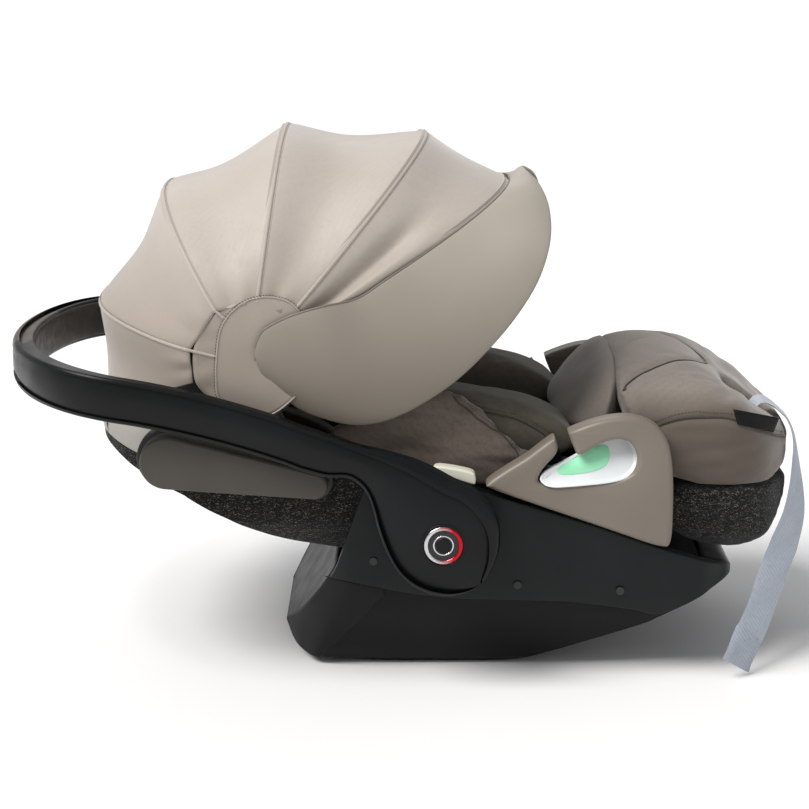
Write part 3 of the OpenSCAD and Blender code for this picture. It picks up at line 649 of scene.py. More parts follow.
def gore_points(a0, r0, w0, a1, r1, w1, rows, cols, sag, tuck=0.0):
    """Rows of points from one bow to the next, bellied in by sag; tuck runs the cloth on under the visor."""
    t0, t1 = start_angle(r0), start_angle(r1)
    out, flat = [], []
    for f in np.linspace(0, 1 + tuck, rows):
        row = []
        for g in np.linspace(0, 1, cols):
            p, n, rad = arch_point(a0, r0, w0, lerp(t0, 180 - t0, g))
            q, m, rad1 = arch_point(a1, r1, w1, lerp(t1, 180 - t1, g))
            reach = lerp(rad, rad1, f)
            point, normal = lerp(p, q, f), unit(lerp(n, m, f))
            hump = math.sin(math.pi * min(1, f)) ** 1.5
            depth = sag * hump * smoothstep((reach - HUB_R) / 110)
            near = math.exp(-(reach - HUB_R) / 20)
            side = 1 if g < 0.5 else -1
            pucker = (2.6 * near * hump * math.sin(9.5 * f + 2 * side)
                      * (1 - math.exp(-(reach - HUB_R + 2) / 6)))
            ripple = noise.noise(Vector((point[0], point[1] * 0.45, point[2])) / 70) * 2.2 * hump
            row.append(point - normal * (depth + pucker - ripple + 40 * max(0, f - 1)))
            flat.append((f, reach))
        out.append(row)
    return np.array(out), flat


def make_gore(name, k, sag, bodies, node):
    """Gore between bow k-1 and bow k; k = 0 is the fixed rear panel."""
    if k == 0:
        spec = (200, 166, 172, BOW_ANGLE[0], BOW_RADIUS[0], HALF[0])
    else:
        spec = (BOW_ANGLE[k - 1], BOW_RADIUS[k - 1], HALF[k - 1], BOW_ANGLE[k], BOW_RADIUS[k], HALF[k])
    rows, cols = 25, 121
    points, facts = gore_points(*spec, rows, cols, sag, 0.12 if k == 4 else 0.0)
    if k == 4:  # the soft fold that runs in beside the visor
        for i, (f, reach) in enumerate(facts):
            r, c = divmod(i, cols)
            p = points[r, c]
            across = (f - 0.56) / 0.17
            along = smoothstep((reach - 62) / 40) * (1 - smoothstep((reach - 160) / 80))
            sink = along * (9 * math.exp(-across**2) - 5 * math.exp(-((f - 0.86) / 0.14) ** 2))
            p += np.array([0, -np.sign(p[1]) * sink * 0.8, 0]) + [0, 0, -0.35 * sink]
    lift = 0.9
    centre = np.array([AXIS_X, 0, AXIS_Z])
    points += lift * (points - centre) / np.maximum(np.linalg.norm(points - centre, axis=2), 1)[..., None]
    obj = mend(add_mesh(name, points.reshape(-1, 3), grid_faces(rows, cols), 0))
    thicken(obj, 1.3)
    paint(obj, CANOPY)
    if len(bodies) == 2:
        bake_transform(obj)
    else:
        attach(obj, bodies[0])
    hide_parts(node)
    return obj


make_gore("canopy_rear_cloth", 0, 2.0, ["back"], "canopy_back")
make_gore("canopy_cloth_1", 1, 8.0, ["back", "bow_1"], "canopy_1")
make_gore("canopy_cloth_2", 2, 9.0, ["bow_1", "bow_2"], "canopy_2")
make_gore("canopy_cloth_3", 3, 9.5, ["bow_2", "bow_3"], "canopy_3")
make_gore("canopy_cloth_4", 4, 3.0, ["bow_3", "visor"], "canopy_4")


def rib_tape(k, body):
    """Piped seam that lies on bow k, with a row of thread along its front side."""
    a, r, w = BOW_ANGLE[k], BOW_RADIUS[k], HALF[k]
    t0 = start_angle(r)
    ts = np.linspace(t0, 180 - t0, 150)
    found = [arch_point(a, r, w, t) for t in ts]
    path, out = np.array([p for p, _, _ in found]), np.array([n for _, n, _ in found])
    across = np.array([-math.sin(math.radians(a)), 0, math.cos(math.radians(a))])
    tape = tube(f"canopy_rib_{k}", path + out * 1.1, 1.7, 10, 0.5, out)
    fit(tape, body, CANOPY_EDGE, "canopy_fabric")
    thread = stitches(f"canopy_thread_{k}", path + out * 1.1 - across * 2.9, out, 2.7, 0.6, 0.24, 0.1)
    fit(thread, body, THREAD_LIGHT, "canopy_fabric")


for rib, rib_body in enumerate(["back", "bow_1", "bow_2", "bow_3"]):
    rib_tape(rib, rib_body)

# Cloth over the canopy's pivot, and the tombstone-shaped gusset sewn on it inside an arched seam
HUB_CLOTH = [[-158, 274], [-181, 282], [-196, 296], [-200, 312], [-199, 332], [-191, 352], [-176, 367],
             [-158, 376], [-138, 379], [-118, 376], [-101, 366], [-90, 350], [-86, 330], [-90, 306],
             [-104, 286], [-130, 268]]
GUSSET = [[-150, 270], [-168, 276], [-177, 287], [-178.4, 306], [-177.5, 324], [-174.7, 345], [-168.8, 360],
          [-156.3, 373], [-143, 380], [-126, 382], [-108, 377], [-96, 364], [-89, 346], [-86, 328],
          [-90, 306], [-104, 286], [-128, 268]]
RIB_ENDS = ([[-206, 331.5], [-192, 328], [-177, 324.5]], [[-179, 369.5], [-173, 364.5], [-167.5, 359.5]])


def hub_cloth(side, name, outline, lift, crown, pleats):
    """Crowned patch of canopy cloth over the pivot on one side."""
    outline = spline(outline, 96, True)
    centre = np.array([-140.0, 322.0])
    verts, rings = [], 16
    for k in range(rings + 1):
        f = 1 - k / rings
        for q in outline:
            p = centre + (q - centre) * max(f, 0.001)
            angle = math.atan2(p[1] - centre[1], p[0] - centre[0])
            rise = FLARE + lift + crown * smoothstep((1 - f) / 0.7)
            fold = 0.8 * noise.noise(Vector((p[0] / 16, p[1] / 40, side * 3.0))) * min(1, 3 * (1 - f))
            fold += pleats * math.sin(angle * 13 + 0.6) * math.exp(-(((f - 0.86) / 0.13) ** 2))
            verts.append([p[0], side * (rise + fold * 0.5), p[1]])
    word = "left" if side > 0 else "right"
    obj = mend(add_mesh(f"{name}_{word}", verts, grid_faces(rings + 1, 96, True), 0))
    thicken(obj, 1.0)
    fit(obj, "back", CANOPY, "canopy_fabric")
    return obj


def gusset(side):
    hub_cloth(side, "canopy_hub_cloth", HUB_CLOTH, 0.4, 0.6, 1.4)
    top = hub_cloth(side, "canopy_gusset", GUSSET, 1.5, 1.0, 0.0)
    outline = spline(GUSSET, 96, True)
    seam = np.array([[q[0], side * (FLARE + 2.3), q[1]] for q in inset(outline, 1.6)])
    start = np.argmin(np.hypot(seam[:, 0] + 128, seam[:, 2] - 268))
    seam = spline(np.roll(seam, -start, 0), 190)
    flat = np.tile([0, side, 0.0], (190, 1))
    fit(stitches(top.name + "_thread", seam, flat, 3.0, 0.6, 0.42, 0.3), "back", THREAD, "canopy_fabric")
    edge = np.array([[q[0], side * (FLARE + 1.5), q[1]] for q in outline])
    roll = tube(top.name + "_edge", np.concatenate([edge, edge[:2]]), 0.8, 8)
    fit(roll, "back", CANOPY_EDGE, "canopy_fabric")
    for k, ends in enumerate(RIB_ENDS):
        line = spline([[x, side * (FLARE + 1.2), z] for x, z in ends], 24)
        rib = tube(f"canopy_rib_end_{k}_{top.name}", line, 1.5, 8, 0.6, np.tile([0, side, 0.0], (24, 1)))
        fit(rib, "back", CANOPY_EDGE, "canopy_fabric")


for s in (1, -1):
    gusset(s)


# ---------- visor ----------
VISOR_SIDE, BROW_R = 190.5, 293


def brow(s):
    a = math.radians(BOW_ANGLE[4])
    y = VISOR_SIDE * max(0, 1 - (s / BROW_R) ** 2.4) ** (1 / 2.4)
    return [AXIS_X + s * math.cos(a), AXIS_Z + s * math.sin(a), y]


VISOR_STRIPS = [
    ([-141.5, 333, 190.5], [-140, 321, 190.5]), ([-137, 344, 190.5], [-135, 308, 190.5]),
    ([-130, 353, 190.5], [-126, 298, 190.5]), ([-106, 365, 190.5], [-104, 275, 190.5]),
    ([-76, 374, 190.5], [-74, 262, 190.5]), (brow(118), [-42, 257, 190.5]), (brow(150), [-10, 264, 190.5]),
    (brow(178), [22, 281, 190.5]), (brow(203), [52, 303, 190.5]), (brow(226), [82, 333, 189]),
    (brow(246), [108, 364, 182]), (brow(263), [129, 396, 165]), (brow(277), [141, 428, 134]),
    (brow(287), [142, 452, 86]), (brow(BROW_R - 1), [133, 470, 40]), (brow(BROW_R), [119, 480, 0])]


def visor_line(side):
    """One long edge of the visor from the near tip over the brow to the far tip, as X, Y, Z."""
    half = np.array([[s[side][0], -s[side][2], s[side][1]] for s in VISOR_STRIPS])
    return spline(np.concatenate([half, mirror_y(half[-2::-1])]), 241)


def make_visor():
    rear, front = visor_line(0), visor_line(1)
    rings, lip = [], []
    for a, b in zip(rear, front):
        wide = np.linalg.norm(b - a)
        e = min(2.0, wide * 0.2) / wide
        ring = []
        y = abs(lerp(a, b, 0.5)[1])
        u = 1 - y / VISOR_SIDE
        out = unit(np.array([0.55 * u, math.copysign(0.02 + y / VISOR_SIDE, a[1]) if y > 1 else 0, u]))
        for g, lift in [(0, 1.1), (e * 0.3, 1.9), (e, 2.2), *[(g, 2.2) for g in np.linspace(0.08, 0.92, 13)],
                        (1 - e, 2.2), (1 - e * 0.3, 1.9), (1, 1.1), (1 - e, 0), *[(g, 0) for g in
                        np.linspace(0.92, 0.08, 13)], (e, 0)]:
            crown = 18 * g * (1 - g) * u + (14 * g * (1 - g) - 9 * g**3) * (1 - u) * min(1, wide / 90)
            ring.append(lerp(a, b, g) + out * (crown + lift))
        rings.append(ring)
        lip.append(a + out * 1.7)
    for end, step in ((0, 1), (-1, -1)):  # rounded tips
        mid = np.mean(rings[end], axis=0)
        tip = mid + (mid - np.mean(rings[end + step], axis=0)) * 0.6
        cap = [lerp(tip, np.array(q), 0.35) for q in rings[end]]
        rings = [cap, *rings] if end == 0 else [*rings, cap]
    panel = loft("visor_leaf", rings, 50)
    fit(panel, "visor", VISOR, "visor_plastic", "visor_panel")
    edge = tube("visor_rear_lip", lip, 0.9, 8)
    fit(edge, "visor", GUIDE, "visor_plastic")


make_visor()

# ---------- handle ----------
ARM_PAIRS = [  # top edge and bottom edge of the arm and hub, from behind the elbow down round the hub
    ([-98, 262.5], [-98, 219.5]), ([-70, 253], [-74, 213]), ([-44, 244], [-55, 212.5]),
    ([-15, 237], [-43, 206]),
    ([11, 229], [-35, 195]), ([30, 220], [-30, 180]), ([47, 210.5], [-26, 163]), ([62, 204], [-21, 147]),
    ([72, 196], [-15, 133]), ([81, 186], [-8, 121]), ([87, 176], [2, 110]), ([90.5, 164], [14, 102]),
    ([91, 152], [28, 97]), ([90, 140], [42, 95.5]), ([85, 126], [56, 98]), ([78.5, 115], [67, 104]),
    ([75.8, 111.6], [70.2, 106.4]), ([74.2, 110], [72, 108])]
PIVOT = np.array([37.0, 148.0])
ARM_OUT, ARM_T, LOOP_X, LOOP_END, BAND_H = 215, 16, -270, -399, 43


def band_mid(x):
    return 297 - 0.00061 * (x + 399) ** 2


def handle_section(top, bottom, out, thick, wide_top, wide_low, deep, raise_face):
    """Ring round the handle at one place: rolled edges, with a wide bevel along the hub's rim."""
    up = top - bottom
    length = np.linalg.norm(up)
    up = up / length
    wide_top, wide_low = min(wide_top, length * 0.42), min(wide_low, length * 0.42)
    face = raise_face
    ring = []
    for k in range(6):
        a = math.pi / 2 * k / 5
        ring.append(bottom + up * wide_low * (1 - math.sin(a)) + out * (face - deep * (1 - math.cos(a))))
    ring = ring[::-1]
    r = 2.6
    for k in range(4):
        a = math.pi / 2 * k / 3
        ring.append(bottom + up * r * (1 - math.cos(a)) - out * (thick - r + r * math.sin(a)))
    for k in range(4):
        a = math.pi / 2 * k / 3
        ring.append(top - up * r * (1 - math.sin(a)) - out * (thick - r + r * math.cos(a)))
    for k in range(6):
        a = math.pi / 2 * k / 5
        ring.append(top - up * wide_top * (1 - math.sin(a)) + out * (face - deep * (1 - math.cos(a))))
    for g in (0.75, 0.5, 0.25):
        ring.append(lerp(bottom + up * wide_low, top - up * wide_top, g) + out * face)
    return ring


def make_handle():
    rings = []
    tops, lows = spline([p[0] for p in ARM_PAIRS], 46), spline([p[1] for p in ARM_PAIRS], 46)
    for i in range(45, -1, -1):
        s = i / 45
        wide = lerp(4.0, 15.0, smoothstep((s - 0.12) / 0.4))
        low = lerp(4.0, 7.0, smoothstep((s - 0.6) / 0.4))
        top, bottom = (np.array([q[0], -ARM_OUT, q[1]]) for q in (tops[i], lows[i]))
        rings.append(handle_section(top, bottom, np.array([0, -1.0, 0]), ARM_T, wide, low,
                                    lerp(4.0, 8.0, smoothstep((s - 0.12) / 0.4)),
                                    3.6 * smoothstep((s - 0.3) / 0.4)))
    for x in np.linspace(-106, LOOP_X, 22)[1:-1]:
        top, bottom = (np.array([x, -ARM_OUT, band_mid(x) + d]) for d in (BAND_H / 2, -BAND_H / 2))
        rings.append(handle_section(top, bottom, np.array([0, -1.0, 0]), ARM_T, 4.0, 4.0, 4.0, 0))
    a, b = LOOP_X - LOOP_END, ARM_OUT
    for t in np.linspace(0, 90, 40):
        c, s = math.cos(math.radians(t)), math.sin(math.radians(t))
        x, y = LOOP_X - a * s, -b * c
        out = unit(np.array([-s / a, -c / b, 0]))
        thick = lerp(ARM_T, 22, smoothstep(t / 90))
        roll = lerp(4.0, 8.0, smoothstep((t - 20) / 60))
        top, bottom = (np.array([x, y, band_mid(x) + d]) for d in (BAND_H / 2, -BAND_H / 2))
        rings.append(handle_section(top, bottom, out, thick, roll, roll, roll * 0.9, 0))
    rings = np.array(rings)
    rings = np.concatenate([rings, mirror_y(rings[-2::-1].reshape(-1, 3)).reshape(-1, *rings.shape[1:])])
    band = loft("handle_band", rings, 42)
    bosses = []
    for side in (1, -1):
        ring = np.array([[PIVOT[0] + 50 * math.cos(u), PIVOT[1] + 50 * math.sin(u)]
                         for u in around(96)])
        bosses.append(plate(f"boss_{side}", ring, side * 200, side * 186, 2.5))
    for o in (band, *bosses):
        paint(o, HANDLE)
    handle = join("carry_handle", band, *bosses)
    fit(handle, "handle", None, "handle_plastic", "handle_bar")


make_handle()


def disc(name, r, y0, y1, bevel, side, n=96):
    ring = np.array([[PIVOT[0] + r * math.cos(u), PIVOT[1] + r * math.sin(u)]
                     for u in around(n)])
    return plate(name, ring, side * y0, side * y1, bevel)


def washer(name, r, width, y, side):
    """Domed ring round the hub's middle."""
    rings = []
    for u in around(96):
        out = np.array([math.cos(u), 0, math.sin(u)])
        p = np.array([PIVOT[0], side * y, PIVOT[1]]) + r * out
        rings.append([p + width * (out * math.cos(v) + np.array([0, side * 0.5, 0]) * math.sin(v))
                      for v in around(12)])
    return loft(name, rings, 60, True)


CHROME_RED = metal("badge_ring", srgb(205, 205, 208), 0.15)
CHROME_RED.tint(CHROME_RED.spread(CHROME_RED.along("X"), 0.028, 0.046), srgb(196, 34, 44))
for s, word in ((1, "left"), (-1, "right")):
    fit(washer(f"hub_bezel_{word}", 20.2, 0.9, 219.2, s), "handle", HANDLE, "hub_plastic", "hub_caps")
    button = disc(f"button_face_{word}", 18.7, 214.5, 218.9, 0.8, s)
    paint(button, DARK)
    rim = washer(f"button_rim_{word}", 16.6, 1.9, 219.2, s)
    paint(rim, CHROME_RED)
    core = disc(f"button_core_{word}", 7.5, 217.5, 219.9, 1.2, s, 48)
    paint(core, HANDLE)
    ring_small = washer(f"button_inner_{word}", 9.2, 0.7, 219.0, s)
    paint(ring_small, CHROME)
    whole = join(f"hub_button_{word}", button, rim, core, ring_small)
    fit(whole, f"handle_button_{word}", None, "badge_chrome", f"handle_button_{word}")


def make_trim():
    """Soft lining on the inside of the crossbar."""
    a, b = LOOP_X - LOOP_END, ARM_OUT
    rings = []
    for t in np.linspace(-76, 76, 90):
        s, c = math.sin(math.radians(90 - abs(t))), math.cos(math.radians(90 - abs(t)))
        x, y = LOOP_X - a * s, math.copysign(b * c, t) if t else 0.0
        out = unit(np.array([-s / a, (y / b) / b, 0]))
        thick = lerp(ARM_T, 22, smoothstep((90 - abs(t)) / 90))
        mid = np.array([x, y, band_mid(x)]) - out * (thick - 0.4)
        ring = []
        for u in around(20):
            cu, su = math.cos(u), math.sin(u)
            high = (BAND_H / 2 - 3) * math.copysign(abs(su) ** 0.45, su)
            deep = 2.4 * max(0, cu) ** 0.5 * (1 - 0.25 * math.exp(-(high / 2.5) ** 2))
            ring.append(mid + np.array([0, 0, high]) - out * (deep if cu > 0 else 0))
        rings.append(ring)
    fit(loft("handle_lining", rings, 60), "handle", LEATHER, "trim_leatherette", "handle_trim")


make_trim()


# ---------- lower shell ----------
def bend_line(points):
    p = np.array(points, float)
    return lambda x: np.interp(x, p[:, 0], p[:, 1])


shell_low = bend_line(spline([[-122, 24], [-112, 12.5], [-96, 9.6], [-76, 8], [-52, 4.4], [-32, 1.2],
                              [-10, 0], [30, 0], [96, 0.6], [125, 8], [155, 19], [231, 47.5], [254, 60],
                              [302, 87.5], [326, 99]], 200))
shell_top = bend_line([[-122, 24], [-104, 50], [-82, 84], [-67, 111], [-44, 180], [-36, 201], [-25, 209.5],
                       [-12, 210.6], [0, 207.6], [54, 198], [185, 157], [316, 110.4], [322, 106],
                       [326, 99.5]])
front_half = bend_line([[0, 128], [3, 133], [7, 139], [20, 147], [45, 157], [64, 166], [82, 172.4],
                        [96, 175.6], [110, 176], [300, 176]])
plan_half = bend_line(spline([[-123, 62], [-107, 110], [-88, 143], [-64, 167], [-40, 175.5], [40, 176.6],
                              [230, 176], [268, 173], [300, 163], [320, 145], [326, 118]], 200))


def shell_half(x, z):
    a, b = front_half(z), plan_half(x)
    return np.minimum(a, b) - 2.2 * np.exp(-np.abs(a - b) / 5)


def shell_ring(x, grow):
    """Half section of the lower shell from its middle line out and up to the rim, as Y and Z."""
    low, top = shell_low(x), max(shell_top(x), shell_low(x) + 0.5)
    edge = shell_half(x, low)
    pts = [(edge * f, low) for f in np.linspace(0, 0.93, 10)]
    pts += [(shell_half(x, z), z) for z in low + (top - low) * np.linspace(0.0, 1, 30) ** 1.25]
    pts = np.array(pts)
    tangent = np.gradient(pts, axis=0)
    n = np.stack([tangent[:, 1], -tangent[:, 0]], 1)
    n /= np.maximum(np.linalg.norm(n, axis=1), 1e-6)[:, None]
    return pts + n * grow


def full_ring(x, grow):
    half = shell_ring(x, grow)
    left = np.c_[np.full(len(half), x), half]
    return np.concatenate([mirror_y(left[:0:-1]), left])


def make_base():
    xs = -121.5 + 446 * smoothstep(np.linspace(0, 1, 121)) * 0.55 + 446 * np.linspace(0, 1, 121) * 0.45
    xs = np.clip(xs, -121.5, 324.5)
    tub = add_mesh("tub", np.array([full_ring(x, 0) for x in xs]).reshape(-1, 3), grid_faces(121, 79), 40)
    thicken(mend(tub), 3.6)
    paint(tub, SHELL)
    # rear deck and front lip close the ends between the sides
    deck = []
    for x in np.linspace(-120, -66, 14):
        z = shell_top(x)
        half = shell_half(x, z) - 1
        deck.append([[x, y, z - 0.6] for y in np.linspace(-half, half, 25)])
    deck = mend(add_mesh("deck", np.array(deck).reshape(-1, 3), grid_faces(14, 25), 0))
    thicken(deck, 3)
    paint(deck, SHELL)
    lip = []
    for x in np.linspace(292, 324, 10):
        z = shell_top(x)
        half = shell_half(x, z) - 1
        lip.append([[x, y, z - 0.6] for y in np.linspace(-half, half, 25)])
    lip = mend(add_mesh("lip", np.array(lip).reshape(-1, 3), grid_faces(10, 25), 0))
    thicken(lip, 3)
    paint(lip, SHELL)
    return join("lower_shell", tub, deck, lip)


fit(make_base(), "shell", None, "shell_plastic", "base_shell")


def skin(name, xs, lower, upper, surface, t):
    """Cover over a curved side: surface(x, z) is how far out it lies, t its thickness."""
    rows, roll = 34, 2.0
    outer, inner = [], []
    x_lo, x_hi = xs[0], xs[-1]
    for x in xs:
        lo, hi = lower(x), max(upper(x), lower(x) + 0.4)
        ends = min(1.0, max(0.0, min(x - x_lo, x_hi - x) / roll))
        fr = np.r_[0, 0.12, 0.3, 0.6, 1.0] * min(roll, (hi - lo) / 3)
        zs = np.r_[lo + fr, np.linspace(lo + fr[-1], hi - fr[-1], rows)[1:-1], hi - fr[::-1]]
        edge = np.minimum(1, np.minimum(zs - lo, hi - zs) / max(roll, 1e-6))
        drop = t * 0.75 * (1 - np.sqrt(np.clip(1 - (1 - np.minimum(edge, ends)) ** 2, 0, 1)))
        y = np.array([surface(x, z) for z in zs])
        outer.append(np.c_[np.full(len(zs), x), -(y + t - drop), zs])
        inner.append(np.c_[np.full(len(zs), x), -y, zs])
    outer, inner = np.array(outer), np.array(inner)
    rings = np.concatenate([outer, inner[:, ::-1]], axis=1)
    return loft(name, rings, 40)


COVER_LOW = bend_line(spline([[-80, 97], [-57, 98], [-29, 93], [4, 86], [55, 80], [110, 78], [163, 76],
                              [220, 68], [250, 62], [285, 78], [302, 88], [324, 99.5]], 120))
edge_xs = np.r_[np.linspace(-78, -70, 6), np.linspace(-66, 316, 96), np.linspace(317, 322.5, 6)]
for s, word in ((1, "left"), (-1, "right")):
    cover = skin(f"side_shell_{word}", edge_xs, COVER_LOW, lambda x: shell_top(x) - 1.0,
                 lambda x, z: shell_half(x, z) + 0.4 - 3.8 * smoothstep((x - 290) / 22), 4.2)
    if s > 0:
        set_coords(cover, mirror_y(coords(cover)))
        mend(cover)
    fit(cover, "shell", COVER, "cover_plastic", f"side_cover_{word}")


def make_foot():
    """Rear end cover: a second skin over the lower shell, cut along two seams."""
    xs = np.linspace(-121.3, -20, 60)
    points = np.array([full_ring(x, 1.6) for x in xs])
    obj = add_mesh("rear_end_cover", points.reshape(-1, 3), grid_faces(*points.shape[:2]), 40)
    bm = bmesh.new()
    bm.from_mesh(obj.data)
    for co, no in (((-0.0225, 0, 0.080), (72, 0, -61)), ((0, 0, 0.0957), (0.06, 0, 1))):
        bmesh.ops.bisect_plane(bm, geom=bm.verts[:] + bm.edges[:] + bm.faces[:], plane_co=co, plane_no=no,
                               clear_outer=True, dist=1e-6)
    bm.to_mesh(obj.data)
    bm.free()
    thicken(mend(obj), 1.4)
    fit(obj, "shell", FOOT, "foot_plastic", "rear_foot_cover")


make_foot()

# ---------- belt guides ----------
GUIDE_SIDE = [[77, 199.5], [81, 195], [140, 174], [196, 154.5], [252, 134], [258, 142], [258.5, 175],
              [258, 200], [256, 224], [252, 242], [244, 254], [231, 262], [213, 266], [196, 264.5],
              [182, 261], [168, 256], [156.8, 251.4], [156, 249], [163.5, 230.5], [166.5, 228.2],
              [171, 229], [188, 240], [198, 243], [208, 244], [218, 239], [224, 226], [221, 213],
              [212, 206], [198, 202.6], [184, 201], [160, 199], [138, 198], [129, 201], [127.5, 205],
              [133, 216], [147.5, 231], [145, 243.5], [142, 246], [128, 235], [117, 226], [96, 213]]
DISH = [[129, 203], [138, 197], [160, 198], [184, 200], [198, 201.5], [213, 205], [222, 212.5], [225, 226],
        [219, 240], [208, 245], [192, 243], [176, 233], [164, 226], [150, 219.5], [139, 214.5], [131, 209]]


def slope_y(z):
    """Distance from the middle of the seat to the dish's sloping face, which stays outside the leg pad."""
    return 188.0 - (z - 200) * 0.53


def sloped(outline, side, steps):
    """Rings on the sloping face: each step is how far in from the outline and how far up off the face."""
    rings = []
    for d, up in steps:
        o = inset(outline, d)
        rings.append(np.c_[o[:, 0], side * (slope_y(o[:, 1]) + up), o[:, 1]])
    return rings


for s, word in ((1, "left"), (-1, "right")):
    outline = chaikin(GUIDE_SIDE, 2)
    guide = plate(f"belt_hook_{word}", outline, s * 165, s * 189, 5.0, 6, 3.0)
    fit(guide, "shell", GUIDE, "guide_plastic", f"belt_guide_{word}")
    edge = chaikin(DISH, 2)
    tray = loft(f"dish_{word}", sloped(edge, s, ((0, -1.5), (0, 1.6), (0.5, 2.1), (1.3, 2.1), (2.2, 1.2),
                                                 (3.4, 0.2), (5, 0))), 60)
    patch = chaikin([[145, 207], [186, 211], [198, 221], [196, 236], [180, 232], [166, 224.5],
                     [149, 216.5]], 2)
    mark = loft(f"mark_{word}", sloped(patch, s, ((0, -0.5), (0, 0.5), (0.5, 0.9))), 60)
    fit(tray, "shell", WHITE, "white_plastic", "belt_guide_inserts")
    fit(mark, "shell", MINT, "green_marker", "belt_guide_markers")

# ---------- release tabs ----------
for s, word in ((1, "left"), (-1, "right")):
    outline = chaikin([[28, 208], [42, 204.5], [56, 201.5], [67, 198], [68.5, 201], [68, 208.5], [64, 211],
                       [46, 215], [28, 217]], 2)
    tab = plate(f"release_slider_{word}", outline, s * 168, s * 185, 1.8)
    fit(tab, f"release_tab_{word}", TAB, "tab_cream", f"release_tab_{word}")

# ---------- back shell ----------
back_low = bend_line([[-306, 240], [-303, 233], [-298, 226], [-284, 215], [-268, 206], [-244, 194],
                      [-215, 181], [-188, 165], [-160, 149], [-132, 136], [-103, 127], [-62, 117.6],
                      [-24, 116.4], [0, 120], [12, 129], [17.5, 140]])
back_top = bend_line([[-306, 240], [-303, 256], [-290, 258], [-190, 258], [-133, 256], [-60, 231], [0, 194],
                      [12, 172], [17.5, 144]])
back_front = bend_line([[96, 100], [104, 109], [112, 118], [120, 128], [130, 139], [140, 148], [152, 157],
                        [166, 162], [184, 165.2], [200, 166], [300, 166]])
back_plan = bend_line(spline([[-306, 60], [-296, 98], [-276, 128], [-248, 148], [-215, 161], [-180, 166],
                              [60, 166]], 120))


def back_half(x, z):
    a, b = back_front(z), back_plan(x)
    return np.minimum(a, b) - 2.5 * np.exp(-np.abs(a - b) / 7)


def back_ring(x, grow):
    low = back_low(x)
    top = max(back_top(x), low + 0.5)
    edge = back_half(x, low)
    pts = [(edge * f, low) for f in np.linspace(0, 0.93, 10)]
    pts += [(back_half(x, z), z) for z in low + (top - low) * np.linspace(0.0, 1, 26) ** 1.3]
    pts = np.array(pts)
    tangent = np.gradient(pts, axis=0)
    n = np.stack([tangent[:, 1], -tangent[:, 0]], 1)
    n /= np.maximum(np.linalg.norm(n, axis=1), 1e-6)[:, None]
    pts = pts + n * grow
    left = np.c_[np.full(len(pts), x), pts]
    return np.concatenate([mirror_y(left[:0:-1]), left])


def make_back():
    xs = np.r_[np.linspace(-305.8, -290, 14), np.linspace(-286, 0, 84), np.linspace(2, 17, 8)]
    shell = add_mesh("back_knit_shell", np.array([back_ring(x, 0) for x in xs]).reshape(-1, 3),
                     grid_faces(len(xs), 71), 45)
    thicken(mend(shell), 3.6)
    co, n = coords(shell), normals_of(shell)
    for i in range(len(co)):
        co[i] += n[i] * 0.9 * noise.noise(Vector(co[i]) / 30)
    set_coords(shell, co)
    fit(shell, "back", KNIT, "knit_black", "back_shell")
    rows = []
    upper = bend_line([[-306, 257.5], [-200, 257.5]])
    lower = bend_line([[-306, 240], [-300, 230], [-262, 204], [-226, 187], [-180, 166]])
    for x in np.linspace(-305.8, -215, 44):
        lo, hi = lower(x), upper(x)
        rows.append([[x, -(back_half(x, z) + 1.3), z] for z in np.linspace(lo + (x + 305.8) * 0.35, hi, 16)])
    near = np.array(rows)
    rear = []
    for y in np.linspace(-58, 58, 30):
        rear.append([[-306.6, y, z] for z in np.linspace(238, 257.5, 10)])
    parts = [mend(add_mesh("m1", near.reshape(-1, 3), grid_faces(44, 16), 0)),
             mend(add_mesh("m2", mirror_y(near.reshape(-1, 3)), grid_faces(44, 16), 0)),
             mend(add_mesh("m3", np.array(rear).reshape(-1, 3), grid_faces(30, 10), 0))]
    for part in parts:
        thicken(part, 1.0)
        paint(part, MESH)
    fit(join("rear_mesh_band", *parts), "back", None, "mesh_white", "rear_vent_panel")


make_back()


# ---------- side-impact pads ----------
def pill(c1, r1, c2, r2):
    c1, c2 = np.array(c1, float), np.array(c2, float)
    d = c2 - c1
    a, b = math.atan2(d[1], d[0]), math.acos((r1 - r2) / np.linalg.norm(d))

    def arc(c, r, u0, u1, n):
        return [c + r * np.array([math.cos(u), math.sin(u)]) for u in np.linspace(u0, u1, n)]

    return np.array(arc(c1, r1, a + b, a - b + 2 * math.pi, 30) + arc(c2, r2, a - b, a + b, 20))


for s, word in ((1, "left"), (-1, "right")):
    outline = pill([-227, 222], 26, [-86, 199], 13)
    pad = plate(f"impact_pad_{word}", outline, s * 169, s * 195, 3.2, 5)
    paint(pad, LSP)
    cup = plate(f"impact_cup_{word}", inset(outline, -4.6), s * 160, s * 176, 2.0)
    paint(cup, DARK)
    fit(pad, f"side_pad_{word}", None, "pad_plastic", f"lsp_{word}")
    fit(cup, "back", None, "knit_black")


# ---------- padded pieces ----------
def copy_node(name, *nodes):
    """Welded copy of some CAD nodes' shape as a new object."""
    bm = bmesh.new()
    for n in nodes:
        bm.from_mesh(NODES[n].data)
    bmesh.ops.remove_doubles(bm, verts=bm.verts, dist=1e-5)
    mesh = bpy.data.meshes.new(name)
    bm.to_mesh(mesh)
    bm.free()
    obj = bpy.data.objects.new(name, mesh)
    scene.collection.objects.link(obj)
    return obj


CLOTH_FRAMES = 16
STITCH_PITCH = 3.4


